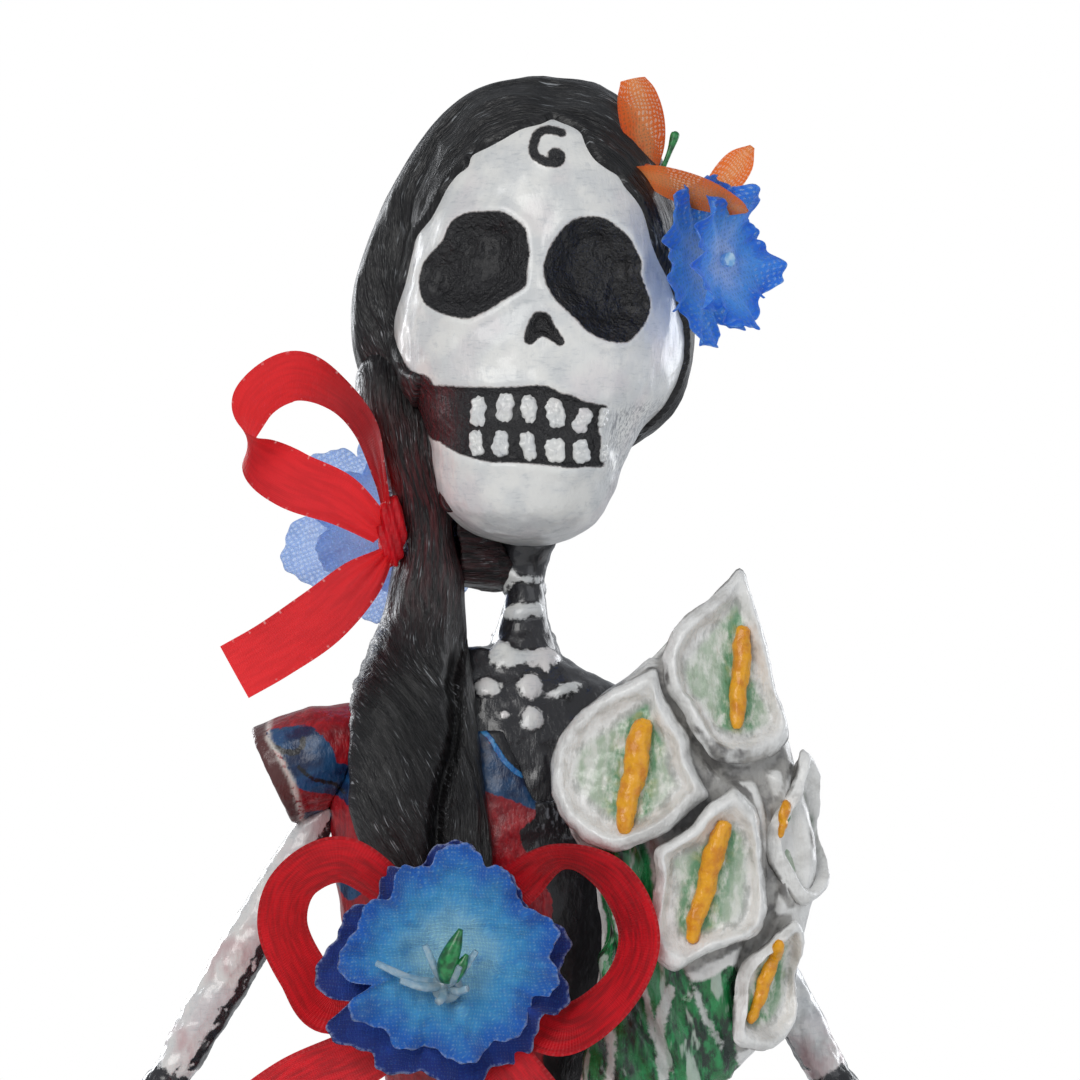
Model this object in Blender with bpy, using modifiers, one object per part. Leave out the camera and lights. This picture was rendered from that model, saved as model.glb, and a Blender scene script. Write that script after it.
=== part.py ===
"""A papier-mache skeleton lady: skull head with a side ponytail, painted paper blouse and full skirt,
satin ribbons, cloth flowers, and an armful of calla lilies held in her left arm.

The row frame has its origin on the floor under the middle of the base, +Z up, and the figure faces -Y,
so her right side is at -X. All pieces are glued: nothing moves.
"""
import math

import bmesh
import bpy
from mathutils import Matrix, Vector
from mathutils.bvhtree import BVHTree

MM = 0.001
FIT_GAP = 0.3 * MM          # between two glued pieces

# Base and skirt
BASE_RADIUS = 92 * MM
BASE_THICKNESS = 5 * MM
DOWEL_RADIUS = 4 * MM
DOWEL_SEAT = 2.5 * MM       # depth of its blind hole in the base
DOWEL_IN_TORSO = 40 * MM
SKIRT_HEIGHT = 295 * MM     # from the top of the base to the waist
SKIRT_WALL = 2.0 * MM
HEM_RADIUS = 82 * MM
FLOUNCE_HEIGHT = 92 * MM
FLOUNCE_LAP = 7 * MM        # how far the flounce covers the skirt
HEM_RIPPLE = 3.2 * MM
HEM_FOLDS = 9
SASH_HEIGHT = 11 * MM
SASH_WALL = 1.8 * MM

# Torso
TORSO_HEIGHT = 101 * MM     # from the waist to the foot of the neck
WAIST_HALF_WIDTH = 14 * MM
CHEST_HALF_WIDTH = 28.5 * MM
CHEST_FRONT = 16.5 * MM
CHEST_BACK = 15 * MM
BODY_X = -1.7 * MM
BLOUSE_WALL = 1.6 * MM
SLEEVE_WALL = 1.5 * MM
SLEEVE_RADIUS = 9 * MM

# Arms
ARM_RADIUS = 4.1 * MM
FOREARM_RADIUS = 3.5 * MM
SHOULDER_REACH = 27.5 * MM
ELBOW_REACH = 58.0 * MM
SHOULDER_UP = 79 * MM       # above the waist
ELBOW_UP = 26 * MM
WIRE_RADIUS = 0.9 * MM

# Neck and head
NECK_RADIUS = 3.3 * MM
NECK_X = 2.1 * MM
HEAD_HALF_WIDTH = 25.6 * MM
HEAD_HALF_HEIGHT = 39.0 * MM
HEAD_FRONT = 26.0 * MM
HEAD_BACK = 27.5 * MM
HEAD_X = 5.2 * MM
HEAD_UP = 158 * MM          # the middle of the head above the waist
HEAD_ROLL = math.radians(6)
HEAD_PITCH = math.radians(5)
HAIR_TOP = 4.3 * MM
HAIR_SIDE = 7.6 * MM        # on her right, where the hair is combed over the ear
HAIR_FAR_SIDE = 1.5 * MM
HAIR_BACK = 3.5 * MM

# Cloth
RIBBON_WIDTH = 10.3 * MM
CLOTH = 0.6 * MM
CHEST_FLOWER_RADIUS = 20.5 * MM
HAIR_FLOWER_RADIUS = 13.5 * MM
NAPE_FLOWER_RADIUS = 18 * MM

# Bouquet
BOUQUET_FRONT = 34 * MM
BOUQUET_BACK = 17.5 * MM
SPADIX_RADIUS = 1.25 * MM
SPATHE_THICKNESS = 3.4 * MM

# Places worked out from the sizes above
BASE_TOP = BASE_THICKNESS
WAIST_Z = BASE_TOP + SKIRT_HEIGHT
NECK_Z = WAIST_Z + TORSO_HEIGHT
HEAD = Vector((HEAD_X, 0, WAIST_Z + HEAD_UP))


# ---------------------------------------------------------------- tools

def finish(name, colour, roughness=0.4, metallic=0.0):
    """A painted or varnished surface."""
    made = bpy.data.materials.get(name) or bpy.data.materials.new(name)
    made.use_nodes = True
    shader = made.node_tree.nodes["Principled BSDF"]
    shader.inputs["Base Color"].default_value = (*colour, 1)
    shader.inputs["Roughness"].default_value = roughness
    shader.inputs["Metallic"].default_value = metallic
    return made


def face_outward(bm):
    bmesh.ops.recalc_face_normals(bm, faces=bm.faces)
    if bm.calc_volume(signed=True) < 0:
        bmesh.ops.reverse_faces(bm, faces=bm.faces)


def keep(name, bm, material, smooth=True):
    """Turns a bmesh into an object of the figure."""
    face_outward(bm)
    mesh = bpy.data.meshes.new(name)
    bm.to_mesh(mesh)
    bm.free()
    piece = bpy.data.objects.new(name, mesh)
    piece.data.materials.append(material)
    FIGURE.objects.link(piece)
    if smooth:
        mesh.shade_smooth()
        mesh.set_sharp_from_angle(angle=math.radians(50))
    WHOLE[name] = mesh.copy()
    return piece


def thicken(piece, wall):
    """Makes an open surface a wall of this thickness, inward from the surface."""
    modifier = piece.modifiers.new("Wall", "SOLIDIFY")
    modifier.thickness = wall
    modifier.offset = -1
    modifier.use_even_offset = True
    bpy.context.view_layer.update()
    apply_modifiers(piece)
    WHOLE[piece.name] = piece.data.copy()


def apply_modifiers(piece):
    """Keeps what the modifiers make as the piece's own mesh."""
    graph = bpy.context.evaluated_depsgraph_get()
    made = bpy.data.meshes.new_from_object(piece.evaluated_get(graph))
    piece.modifiers.clear()
    old = piece.data
    piece.data = made
    bpy.data.meshes.remove(old)


def grown_copy(piece, gap):
    """A cutter of the piece's shape, before anything was cut from it, grown by the gap."""
    bm = bmesh.new()
    bm.from_mesh(WHOLE[piece.name])
    bm.normal_update()
    moved = [v.co + v.normal * gap for v in bm.verts]
    for v, place in zip(bm.verts, moved):
        v.co = place
    return as_cutter(piece.name + "_cutter", bm)


def as_cutter(name, bm):
    """Turns a bmesh into a helper that is cut away from a piece and then dropped."""
    face_outward(bm)
    mesh = bpy.data.meshes.new(name)
    bm.to_mesh(mesh)
    bm.free()
    cutter = bpy.data.objects.new(name, mesh)
    cutter.hide_render = True
    cutter.display_type = "WIRE"
    CUTTERS.objects.link(cutter)
    return cutter


def combine(piece, other, operation):
    """Cuts the other shape away from the piece, or joins it on, and drops the other."""
    modifier = piece.modifiers.new("Combine", "BOOLEAN")
    modifier.operation = operation
    modifier.solver = "EXACT"
    modifier.object = other
    bpy.context.view_layer.update()
    apply_modifiers(piece)
    bpy.data.objects.remove(other)


def seat(piece, *others, gap=FIT_GAP):
    """Shapes the piece to lie against pieces that it is glued to, with the glue's gap."""
    for other in others:
        cutter = grown_copy(other, gap)
        if surface(piece).overlap(surface(cutter)):
            combine(piece, cutter, "DIFFERENCE")
            keep_largest_body(piece)
        else:
            bpy.data.objects.remove(cutter)


def surface(piece):
    bm = bmesh.new()
    bm.from_mesh(piece.data)
    tree = BVHTree.FromBMesh(bm)
    bm.free()
    return tree


def keep_largest_body(piece):
    """Drops the slivers that a cut leaves on the far side of a thin piece."""
    bm = bmesh.new()
    bm.from_mesh(piece.data)
    bmesh.ops.remove_doubles(bm, verts=bm.verts, dist=0.001 * MM)
    left = set(bm.verts)
    bodies = []
    while left:
        body = {left.pop()}
        front = list(body)
        while front:
            vert = front.pop()
            near = {edge.other_vert(vert) for edge in vert.link_edges} & left
            body |= near
            left -= near
            front += near
        bodies.append(body)
    bodies.sort(key=len, reverse=True)
    for body in bodies[1:]:
        bmesh.ops.delete(bm, geom=list(body), context="VERTS")
    bm.to_mesh(piece.data)
    bm.free()


def squared(c, power):
    """A cosine made squarer, so that an ellipse becomes a rounded box."""
    return math.copysign(abs(c) ** (2 / power), c)


def ring_form(name, rings, sides, material, power=2.0, smooth=True):
    """A closed form lofted through rings. Each ring is (centre, half axis, other half axis)."""
    bm = bmesh.new()
    steps = len(rings) + 1
    bmesh.ops.create_uvsphere(bm, u_segments=sides, v_segments=steps, radius=1)
    for v in bm.verts:
        level = round(math.acos(max(-1.0, min(1.0, v.co.z))) / math.pi * steps)
        if level in (0, steps):
            v.co = rings[min(level, len(rings) - 1)][0]
            continue
        centre, a, b = rings[level - 1]
        turn = math.atan2(v.co.y, v.co.x)
        v.co = centre + a * squared(math.cos(turn), power) + b * squared(math.sin(turn), power)
    return keep(name, bm, material, smooth)


def level_rings(levels, place=lambda x, y, z: Vector((x, y, z))):
    """Rings for a form given level by level, as (z, left, right, front, back), moved by place."""
    rings = []
    for z, left, right, front, back in levels:
        middle = place((left + right) / 2, (front + back) / 2, z)
        across = place(right, (front + back) / 2, z) - middle
        deep = place((left + right) / 2, back, z) - middle
        rings.append((middle, across, deep))
    return rings


def smooth_line(points, steps):
    """A Catmull-Rom line through the points, with so many steps between each two."""
    ends = [2 * points[0] - points[1], *points, 2 * points[-1] - points[-2]]
    line = []
    for i in range(1, len(ends) - 2):
        a, b, c, d = ends[i - 1:i + 3]
        for k in range(steps):
            t = k / steps
            line.append(0.5 * (2 * b + (c - a) * t + (2 * a - 5 * b + 4 * c - d) * t * t
                               + (3 * b - a - 3 * c + d) * t ** 3))
    return line + [points[-1].copy()]


def rod(name, points, radii, sides, material, steps=3):
    """A round piece along a smooth line, with its own radius at each point."""
    line = smooth_line(points, steps)
    width = [r.x for r in smooth_line([Vector((r, 0, 0)) for r in radii], steps)]
    rings = []
    for i, place in enumerate(line):
        ahead = (line[min(i + 1, len(line) - 1)] - line[max(i - 1, 0)]).normalized()
        across = ahead.cross(Vector((0, 1, 0))).normalized()
        up = ahead.cross(across).normalized()
        rings.append((place, across * width[i], up * width[i]))
    return ring_form(name, rings, sides, material)


def ribbon(name, rows, material, steps=4):
    """A flat strip along a smooth line. Each row is its place in millimetres above the waist, the
    direction of its width there, and that width in millimetres."""
    line = smooth_line([mm(*row[:3]) for row in rows], steps)
    sides = smooth_line([Vector(row[3:6]).normalized() for row in rows], steps)
    widths = smooth_line([Vector((row[6] * MM, 0, 0)) for row in rows], steps)
    rings = []
    for i, place in enumerate(line):
        ahead = (line[min(i + 1, len(line) - 1)] - line[max(i - 1, 0)]).normalized()
        across = (sides[i] - ahead * sides[i].dot(ahead)).normalized() * widths[i].x / 2
        face = ahead.cross(across).normalized() * CLOTH / 2
        rings.append((place, across + face, face - across))
    return ring_form(name, rings, 4, material, smooth=False)


def mm(x, y, z):
    """A place in millimetres from the waist's height, in metres."""
    return Vector((x * MM, y * MM, z * MM + WAIST_Z))


def head_place(u, y, w):
    """A place on the tilted head: u to her left, y back and w up from the head's middle."""
    tilt = Matrix.Rotation(HEAD_ROLL, 3, "Y") @ Matrix.Rotation(-HEAD_PITCH, 3, "X")
    return HEAD + tilt @ Vector((u, y, w))


def facing(direction, spin=0.0):
    """Turns a disc that lies flat, facing +Z, to face the direction."""
    turned = Vector(direction).normalized().to_track_quat("Z", "Y").to_matrix()
    return turned @ Matrix.Rotation(spin, 3, "Z")


# ---------------------------------------------------------------- base and skirt

def make_base():
    bm = bmesh.new()
    bmesh.ops.create_cone(bm, cap_ends=True, segments=48, radius1=BASE_RADIUS, radius2=BASE_RADIUS,
                          depth=BASE_THICKNESS)
    bmesh.ops.translate(bm, verts=bm.verts, vec=(0, 0, BASE_THICKNESS / 2))
    return keep("base_board", bm, CARD)


def make_dowel(base):
    bottom = BASE_TOP - DOWEL_SEAT
    top = WAIST_Z + DOWEL_IN_TORSO
    bm = bmesh.new()
    bmesh.ops.create_cone(bm, cap_ends=True, segments=16, radius1=DOWEL_RADIUS, radius2=DOWEL_RADIUS,
                          depth=top - bottom)
    bmesh.ops.translate(bm, verts=bm.verts, vec=(BODY_X, 0, (top + bottom) / 2))
    dowel = keep("support_dowel", bm, WOOD)
    seat(base, dowel)
    return dowel


def skirt_radius(z):
    """The outside of the skirt at a height, without its folds."""
    share = (WAIST_Z - z) / SKIRT_HEIGHT
    waist = WAIST_HALF_WIDTH + SKIRT_WALL + 1.2 * MM
    hip = min(1.0, share / 0.16)
    bell = 14 * MM * math.sin(hip * math.pi / 2)
    return waist + bell + (HEM_RADIUS - waist - 14 * MM) * share ** 1.25


def skirt_fold(turn, z, depth):
    """How far a fold stands out at an angle round the skirt: none at the hips, most at the hem."""
    share = max(0.0, (WAIST_Z - z) / SKIRT_HEIGHT - 0.12)
    return depth * share ** 1.2 * (math.cos(HEM_FOLDS * turn) + 0.35 * math.cos(7 * turn + 1.3))


def paper_wall(name, low, high, out, material, rows, folds):
    """A hollow paper wall round the body: the skirt's outline grown by out, SKIRT_WALL thick."""
    bm = bmesh.new()
    sides = 45
    bmesh.ops.create_cone(bm, cap_ends=False, segments=sides, radius1=1, radius2=1, depth=1)
    upright = [e for e in bm.edges if abs(e.verts[0].co.z - e.verts[1].co.z) > 0.5]
    bmesh.ops.subdivide_edges(bm, edges=upright, cuts=rows - 1)
    for v in bm.verts:
        z = low + (high - low) * (v.co.z + 0.5)
        turn = math.atan2(v.co.y, v.co.x)
        radius = skirt_radius(z) + out + skirt_fold(turn, z, folds)
        centre = BODY_X * max(0.0, 1 - (WAIST_Z - z) / (0.3 * SKIRT_HEIGHT))
        v.co = Vector((centre + radius * math.cos(turn), 0.94 * radius * math.sin(turn), z))
    wall = keep(name, bm, material)
    thicken(wall, SKIRT_WALL)
    return wall


def make_skirt(base, torso):
    lap_z = BASE_TOP + FLOUNCE_HEIGHT - FLOUNCE_LAP
    skirt = paper_wall("skirt_shell", lap_z, WAIST_Z - FIT_GAP, 0, SKIRT_PAPER, 6, HEM_RIPPLE)
    seat(skirt, torso)
    flounce = paper_wall("skirt_flounce", BASE_TOP + FIT_GAP, BASE_TOP + FLOUNCE_HEIGHT,
                         SKIRT_WALL + FIT_GAP, SKIRT_PAPER, 3, HEM_RIPPLE)
    seat(flounce, base, skirt)
    return skirt, flounce


def make_sash(skirt, blouse, torso):
    """A paper band that covers where the blouse meets the skirt."""
    low = WAIST_Z - 0.6 * SASH_HEIGHT
    bm = bmesh.new()
    bmesh.ops.create_cone(bm, cap_ends=False, segments=24, radius1=1, radius2=1, depth=1)
    upright = [e for e in bm.edges if abs(e.verts[0].co.z - e.verts[1].co.z) > 0.5]
    bmesh.ops.subdivide_edges(bm, edges=upright, cuts=2)
    for v in bm.verts:
        z = low + SASH_HEIGHT * (v.co.z + 0.5)
        radius = skirt_radius(min(z, WAIST_Z)) + SASH_WALL
        v.co = Vector((BODY_X + radius * v.co.x, 0.88 * radius * v.co.y, z))
    sash = keep("waist_sash", bm, SASH_PAPER)
    thicken(sash, 2 * SASH_WALL)
    seat(sash, skirt, blouse, torso)
    return sash


# ---------------------------------------------------------------- torso, blouse and sleeves

# (share of the torso's height, width, front and back as shares of the chest's)
TORSO_LEVELS = ((-0.14, 0.00, 0.58, 0.62), (-0.02, 0.03, 0.61, 0.66), (0.10, 0.10, 0.68, 0.72),
                (0.26, 0.32, 0.78, 0.80), (0.40, 0.60, 0.88, 0.88), (0.53, 0.84, 0.97, 0.94),
                (0.65, 0.94, 1.00, 1.00), (0.76, 1.00, 0.94, 1.00), (0.86, 0.90, 0.79, 0.87),
                (0.93, 0.48, 0.61, 0.70), (0.97, -0.07, 0.46, 0.54), (1.00, -0.42, 0.33, 0.40))


def torso_levels(out=0.0, first=0, last=len(TORSO_LEVELS)):
    """The body's levels, grown by out. A width of 0 is the waist's and 1 the chest's."""
    levels = []
    for up, wide, front, back in TORSO_LEVELS[first:last]:
        half = WAIST_HALF_WIDTH + (CHEST_HALF_WIDTH - WAIST_HALF_WIDTH) * wide
        levels.append((WAIST_Z + TORSO_HEIGHT * up, BODY_X - half - out, BODY_X + half + out,
                       -CHEST_FRONT * front - out, CHEST_BACK * back + out))
    return levels


def make_torso(dowel, spine):
    torso = ring_form("torso", level_rings(torso_levels()), 24, BLACK)
    seat(torso, dowel, spine)
    return torso


def make_blouse(torso):
    """A painted paper bodice round the torso, with a V neck."""
    levels = torso_levels(out=BLOUSE_WALL + FIT_GAP, first=1, last=9)
    levels[0] = (WAIST_Z + 3 * MM, *levels[0][1:])
    blouse = ring_form("blouse_body", level_rings(levels), 24, BLOUSE_PAPER)
    seat(blouse, torso)
    low, high, half = WAIST_Z + 0.74 * TORSO_HEIGHT, NECK_Z, 13 * MM
    middle = BODY_X + 7.5 * MM
    bm = bmesh.new()
    bmesh.ops.create_cube(bm, size=1)
    for v in bm.verts:
        top = v.co.z > 0
        wide = half if top else 2 * MM
        v.co = Vector((middle + math.copysign(wide, v.co.x), v.co.y * 0.08 - 0.04, high if top else low))
    combine(blouse, as_cutter("neckline_cutter", bm), "DIFFERENCE")
    return blouse


def make_sleeve(name, side, blouse, torso):
    """A short flared paper sleeve; side is -1 on her right."""
    rings = ((20, 0, 83, 7.4), (25, 0, 83, 8.2), (31, -0.4, 82, 8.9), (36, -0.8, 80.5, 9.0),
             (40, -1, 78.5, 9.0))
    bm = bmesh.new()
    bmesh.ops.create_cone(bm, cap_ends=False, segments=24, radius1=1, radius2=1, depth=1)
    upright = [e for e in bm.edges if abs(e.verts[0].co.z - e.verts[1].co.z) > 0.5]
    bmesh.ops.subdivide_edges(bm, edges=upright, cuts=len(rings) - 2)
    for v in bm.verts:
        step = round((v.co.z + 0.5) * (len(rings) - 1))
        x, y, z, _ = rings[step]
        radius = SLEEVE_RADIUS * rings[step][3] / 9.0
        lean = math.radians(4 + 5 * step)
        turn = math.atan2(v.co.y, v.co.x)
        up, deep = radius * math.cos(turn), radius * math.sin(turn)
        v.co = Vector((BODY_X + side * (x * MM + up * math.sin(lean)), y * MM + deep,
                       WAIST_Z + z * MM + up * math.cos(lean)))
    sleeve = keep(name, bm, BLOUSE_PAPER)
    thicken(sleeve, SLEEVE_WALL)
    seat(sleeve, torso, blouse)
    return sleeve


# ---------------------------------------------------------------- arms

def arm_points(side):
    """Shoulder, elbow and the two points between them."""
    shoulder = Vector((BODY_X + side * SHOULDER_REACH, 1 * MM, WAIST_Z + SHOULDER_UP))
    elbow = Vector((BODY_X + side * ELBOW_REACH, 0, WAIST_Z + ELBOW_UP))
    return [shoulder.lerp(elbow, share) for share in (0, 0.33, 0.7, 1)]


def make_spine_wire():
    """The armature wire that runs from the torso through the neck into the skull."""
    places = [Vector((NECK_X, 1 * MM, NECK_Z + up * MM)) for up in (-35, 0, 40)]
    return rod("spine_wire", places, [WIRE_RADIUS] * 3, 8, STEEL, 1)


def make_upper_arm(label, side, torso, blouse, sleeve):
    arm = rod(f"upper_arm_{label}", arm_points(side),
              [0.55 * ARM_RADIUS, 0.85 * ARM_RADIUS, ARM_RADIUS, 0.8 * ARM_RADIUS], 12, BONE)
    seat(arm, torso, blouse, sleeve)
    return arm


def make_elbow(label, side, arm):
    """The black knob of paste that joins the two bones."""
    place = arm_points(side)[3] + Vector((side * 1.2 * MM, 0, -2.4 * MM))
    bm = bmesh.new()
    bmesh.ops.create_uvsphere(bm, u_segments=12, v_segments=8, radius=0.92 * ARM_RADIUS)
    bmesh.ops.translate(bm, verts=bm.verts, vec=place)
    elbow = keep(f"elbow_{label}", bm, BLACK)
    seat(elbow, arm)
    return elbow, place


def make_hand(label, wrist, palm_way, finger_way, curl, forearm, touching):
    """A flat palm with four bony fingers and a thumb, joined in one form."""
    palm_way, finger_way = palm_way.normalized(), finger_way.normalized()
    across = palm_way.cross(finger_way).normalized()
    fingers = []
    start = wrist + finger_way * 6.5 * MM
    for k in range(5):
        thumb = k == 4
        root = start + across * (k - 1.5) * 2.1 * MM
        if thumb:
            root = wrist + finger_way * 3 * MM + across * 3.4 * MM
        way = finger_way + across * (0.06 * (k - 1.5) if not thumb else 0.75)
        long = (9.5, 10.8, 10.2, 8.2, 7.0)[k] * MM
        mid = root + way * long * 0.5 + palm_way * curl * 0.25
        tip = root + way * long * 0.9 + palm_way * curl
        fingers.append(rod(f"finger_{label}_{k}", [root - finger_way * 2 * MM, root, mid, tip],
                           [0.9 * MM, 1.05 * MM, 1.0 * MM, 0.7 * MM], 6, BONE, 1))
    palm = ring_form(f"hand_{label}", [
        (wrist + finger_way * x * MM, across * a * MM, palm_way * b * MM)
        for x, a, b in ((-0.5, 1.9, 1.5), (1.5, 2.6, 1.6), (4, 4.0, 1.7), (6.5, 4.3, 1.6), (8, 3.4, 1.2))
    ], 12, BONE)
    for finger in fingers:
        combine(palm, finger, "UNION")
    seat(palm, forearm, *touching)
    return palm


# ---------------------------------------------------------------- neck, skull and hair

def make_neck(torso, skull, spine):
    rings = []
    for up, wide, shift in ((-5, 2.2, 0), (-1, 2.0, 0), (3, 1.45, 0.2), (7, 1.1, 0.3), (11, 1.0, 0.3),
                            (15, 1.15, 0.4), (19, 1.6, 0.8), (24, 1.9, 1.4)):
        place = Vector((NECK_X + shift * MM, 1 * MM, NECK_Z + up * MM))
        rings.append((place, Vector((NECK_RADIUS * wide, 0, 0)), Vector((0, NECK_RADIUS * wide, 0))))
    neck = ring_form("neck", rings, 16, BLACK)
    seat(neck, spine, torso, skull)
    return neck


# (height, half width, front, back), as shares of the head's own sizes
SKULL_LEVELS = ((0.97, 0.36, 0.36, 0.50), (0.88, 0.60, 0.62, 0.72), (0.72, 0.78, 0.80, 0.86),
                (0.50, 0.91, 0.92, 0.95), (0.26, 0.97, 0.97, 1.00), (0.05, 1.00, 0.98, 1.00),
                (-0.12, 1.00, 1.00, 0.92), (-0.28, 0.93, 1.00, 0.76), (-0.44, 0.77, 0.99, 0.52),
                (-0.60, 0.66, 0.97, 0.36), (-0.76, 0.60, 0.93, 0.28), (-0.90, 0.50, 0.84, 0.22),
                (-0.985, 0.30, 0.66, 0.10))


def make_skull(spine):
    levels = [(HEAD_HALF_HEIGHT * up, -HEAD_HALF_WIDTH * wide, HEAD_HALF_WIDTH * wide,
               -HEAD_FRONT * front, HEAD_BACK * back) for up, wide, front, back in SKULL_LEVELS]
    rings = level_rings([(z, l, r, f, b) for z, l, r, f, b in levels], lambda x, y, z: head_place(x, y, z))
    skull = ring_form("skull", rings, 24, BONE, power=2.25)
    seat(skull, spine)
    return skull


def make_eye_sockets(skull):
    """Two round hollows in the face, and the small one of the nose."""
    for u, w, across, up, deep in ((-11.6, 7.8, 8.4, 8.4, 5.5), (10.6, 7.2, 8.6, 9.6, 5.5),
                                   (0.9, -2.6, 2.6, 2.8, 2.0)):
        centre = head_place(u * MM, -HEAD_FRONT + 1.2 * MM, w * MM)
        bm = bmesh.new()
        bmesh.ops.create_uvsphere(bm, u_segments=14, v_segments=8, radius=1)
        for v in bm.verts:
            v.co = centre + Vector((v.co.x * across * MM, v.co.y * deep * MM, v.co.z * up * MM))
        combine(skull, as_cutter("socket_cutter", bm), "DIFFERENCE")


def make_hair_cap(skull):
    """The combed hair over the head: a shell that leaves the face open."""
    top = HEAD_HALF_HEIGHT + HAIR_TOP
    side = HEAD_HALF_WIDTH + HAIR_SIDE
    far = HEAD_HALF_WIDTH + HAIR_FAR_SIDE
    front = HEAD_FRONT - 2.5 * MM
    back = HEAD_BACK + HAIR_BACK
    shares = ((0.99, 0.24, 0.26, 0.30, 0.34), (0.93, 0.45, 0.42, 0.62, 0.58),
              (0.84, 0.60, 0.56, 0.82, 0.74),
              (0.70, 0.73, 0.70, 0.98, 0.87), (0.50, 0.86, 0.84, 1.05, 0.96),
              (0.28, 0.95, 0.94, 1.08, 1.00),
              (0.06, 1.00, 1.00, 1.08, 1.00), (-0.14, 0.98, 1.00, 1.05, 0.96),
              (-0.32, 0.90, 0.90, 1.00, 0.86),
              (-0.48, 0.84, 0.62, 0.80, 0.72), (-0.60, 0.78, 0.30, 0.40, 0.55))
    levels = [(top * up, -side * left, far * right, -front * ahead, back * behind)
              for up, left, right, ahead, behind in shares]
    cap = ring_form("hair_cap", level_rings(levels, head_place), 24, HAIR)
    face = ((-0.62, -60), (-0.62, -22.8), (-0.76, -11.7), (-0.94, -8.8), (-1.02, -2.9), (-0.97, 5.9),
            (-0.86, 13),
            (-0.69, 20.4), (-0.39, 28.2), (0, 33.6), (0.42, 30.3), (0.66, 20.6), (0.83, 12.4), (1.0, 4.2),
            (1.04, -2.5),
            (1.06, -60))
    outline = [Vector((HEAD_HALF_WIDTH * x, 0, w * MM)) for x, w in face]
    bm = bmesh.new()
    near = [bm.verts.new(head_place(p.x, -50 * MM, p.z)) for p in outline]
    sheet = bm.faces.new(near)
    pushed = bmesh.ops.extrude_face_region(bm, geom=[sheet])["geom"]
    ends = [v for v in pushed if isinstance(v, bmesh.types.BMVert)]
    bmesh.ops.translate(bm, verts=ends, vec=(0, 44 * MM, 0))
    combine(cap, as_cutter("face_cutter", bm), "DIFFERENCE")
    seat(cap, skull)
    return cap


def lock(name, levels, material, sides=14):
    """A hanging mass of hair, given level by level in millimetres above the waist."""
    rings = level_rings([(WAIST_Z + z * MM, l * MM, r * MM, f * MM, b * MM) for z, l, r, f, b in levels])
    return ring_form(name, rings, sides, material, power=2.2)


def make_ponytail(skull, cap, torso, blouse, sleeve, neck):
    tail = lock("hair_tail", ((146, -24.5, -16, -7, 6), (140, -24.3, -13, -9.5, 8),
                              (131, -21.8, -10.5, -10.5, 7),
                              (121, -20.8, -9, -11, 5), (112, -21.3, -8.5, -12, 3),
                              (105, -22, -8.3, -14, 2),
                              (99, -24.5, -7, -17, 0), (95, -26, -6.5, -19.5, -4)), HAIR)
    seat(tail, skull, cap, torso, blouse, sleeve)
    roll_rings = []
    for x, y, z, up, deep in ((-13.5, 0, 121, 7, 5), (-10, 0, 120, 8, 6.5), (-6, 1, 118.5, 7, 7),
                              (-2.5, 2, 117, 6, 6.5),
                              (0.5, 3, 116, 4.5, 5)):
        roll_rings.append((mm(x, y, z), Vector((0, 0, up * MM)), Vector((0, deep * MM, 0))))
    roll = ring_form("hair_roll", roll_rings, 12, HAIR)
    seat(roll, skull, cap, neck, tail)
    outer = lock("hair_lock_outer", ((97, -26, -13, -19, -10), (90, -27.8, -12, -22, -11),
                                     (80, -27.5, -10.5, -24, -12),
                                     (70, -26.5, -9, -25.2, -13), (62, -22, -8, -25.6, -14),
                                     (55, -17, -7.5, -25, -15),
                                     (49, -14, -8.5, -24, -16.5)), HAIR)
    inner = lock("hair_lock_inner", ((97, -15, -6.5, -18, -10), (90, -14, -5.8, -21.5, -11),
                                     (80, -12.5, -5, -23.6, -12),
                                     (70, -11, -3.6, -25, -13), (62, -10, -2.8, -25.4, -14),
                                     (55, -9.5, -5, -25, -15)),
                 HAIR)
    seat(outer, tail, torso, blouse, sleeve)
    seat(inner, tail, torso, blouse, outer)
    return tail, roll, outer, inner


# ---------------------------------------------------------------- cloth flowers and ribbons

def petal_disc(name, centre, turn, radius, lobes, cup, material, sides=24, notch=0.2, ruffle=0.08,
               phase=0.0,
               flat_back=0.0):
    """A disc of cloth with a lobed edge, cupped and ruffled. cup is how far its rim stands forward."""
    bm = bmesh.new()
    steps = 6
    bmesh.ops.create_uvsphere(bm, u_segments=sides, v_segments=steps, radius=1)
    for v in bm.verts:
        down = math.acos(max(-1.0, min(1.0, v.co.z))) / (math.pi / 2)
        out = down if down <= 1 else 2 - down
        face = 0 if abs(down - 1) < 1e-4 else (CLOTH / 2 if down < 1 else -CLOTH / 2)
        angle = math.atan2(v.co.y, v.co.x)
        lobe = abs(math.cos(lobes * (angle + phase) / 2))
        reach = radius * out * (1 - notch * out * out * (1 - lobe))
        lift = cup * out ** 1.5 + ruffle * radius * out * out * math.cos(lobes * (angle + phase))
        lift -= flat_back * max(0.0, out - 0.6)
        v.co = centre + turn @ Vector((reach * math.cos(angle), reach * math.sin(angle), lift + face))
    return keep(name, bm, material)


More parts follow.
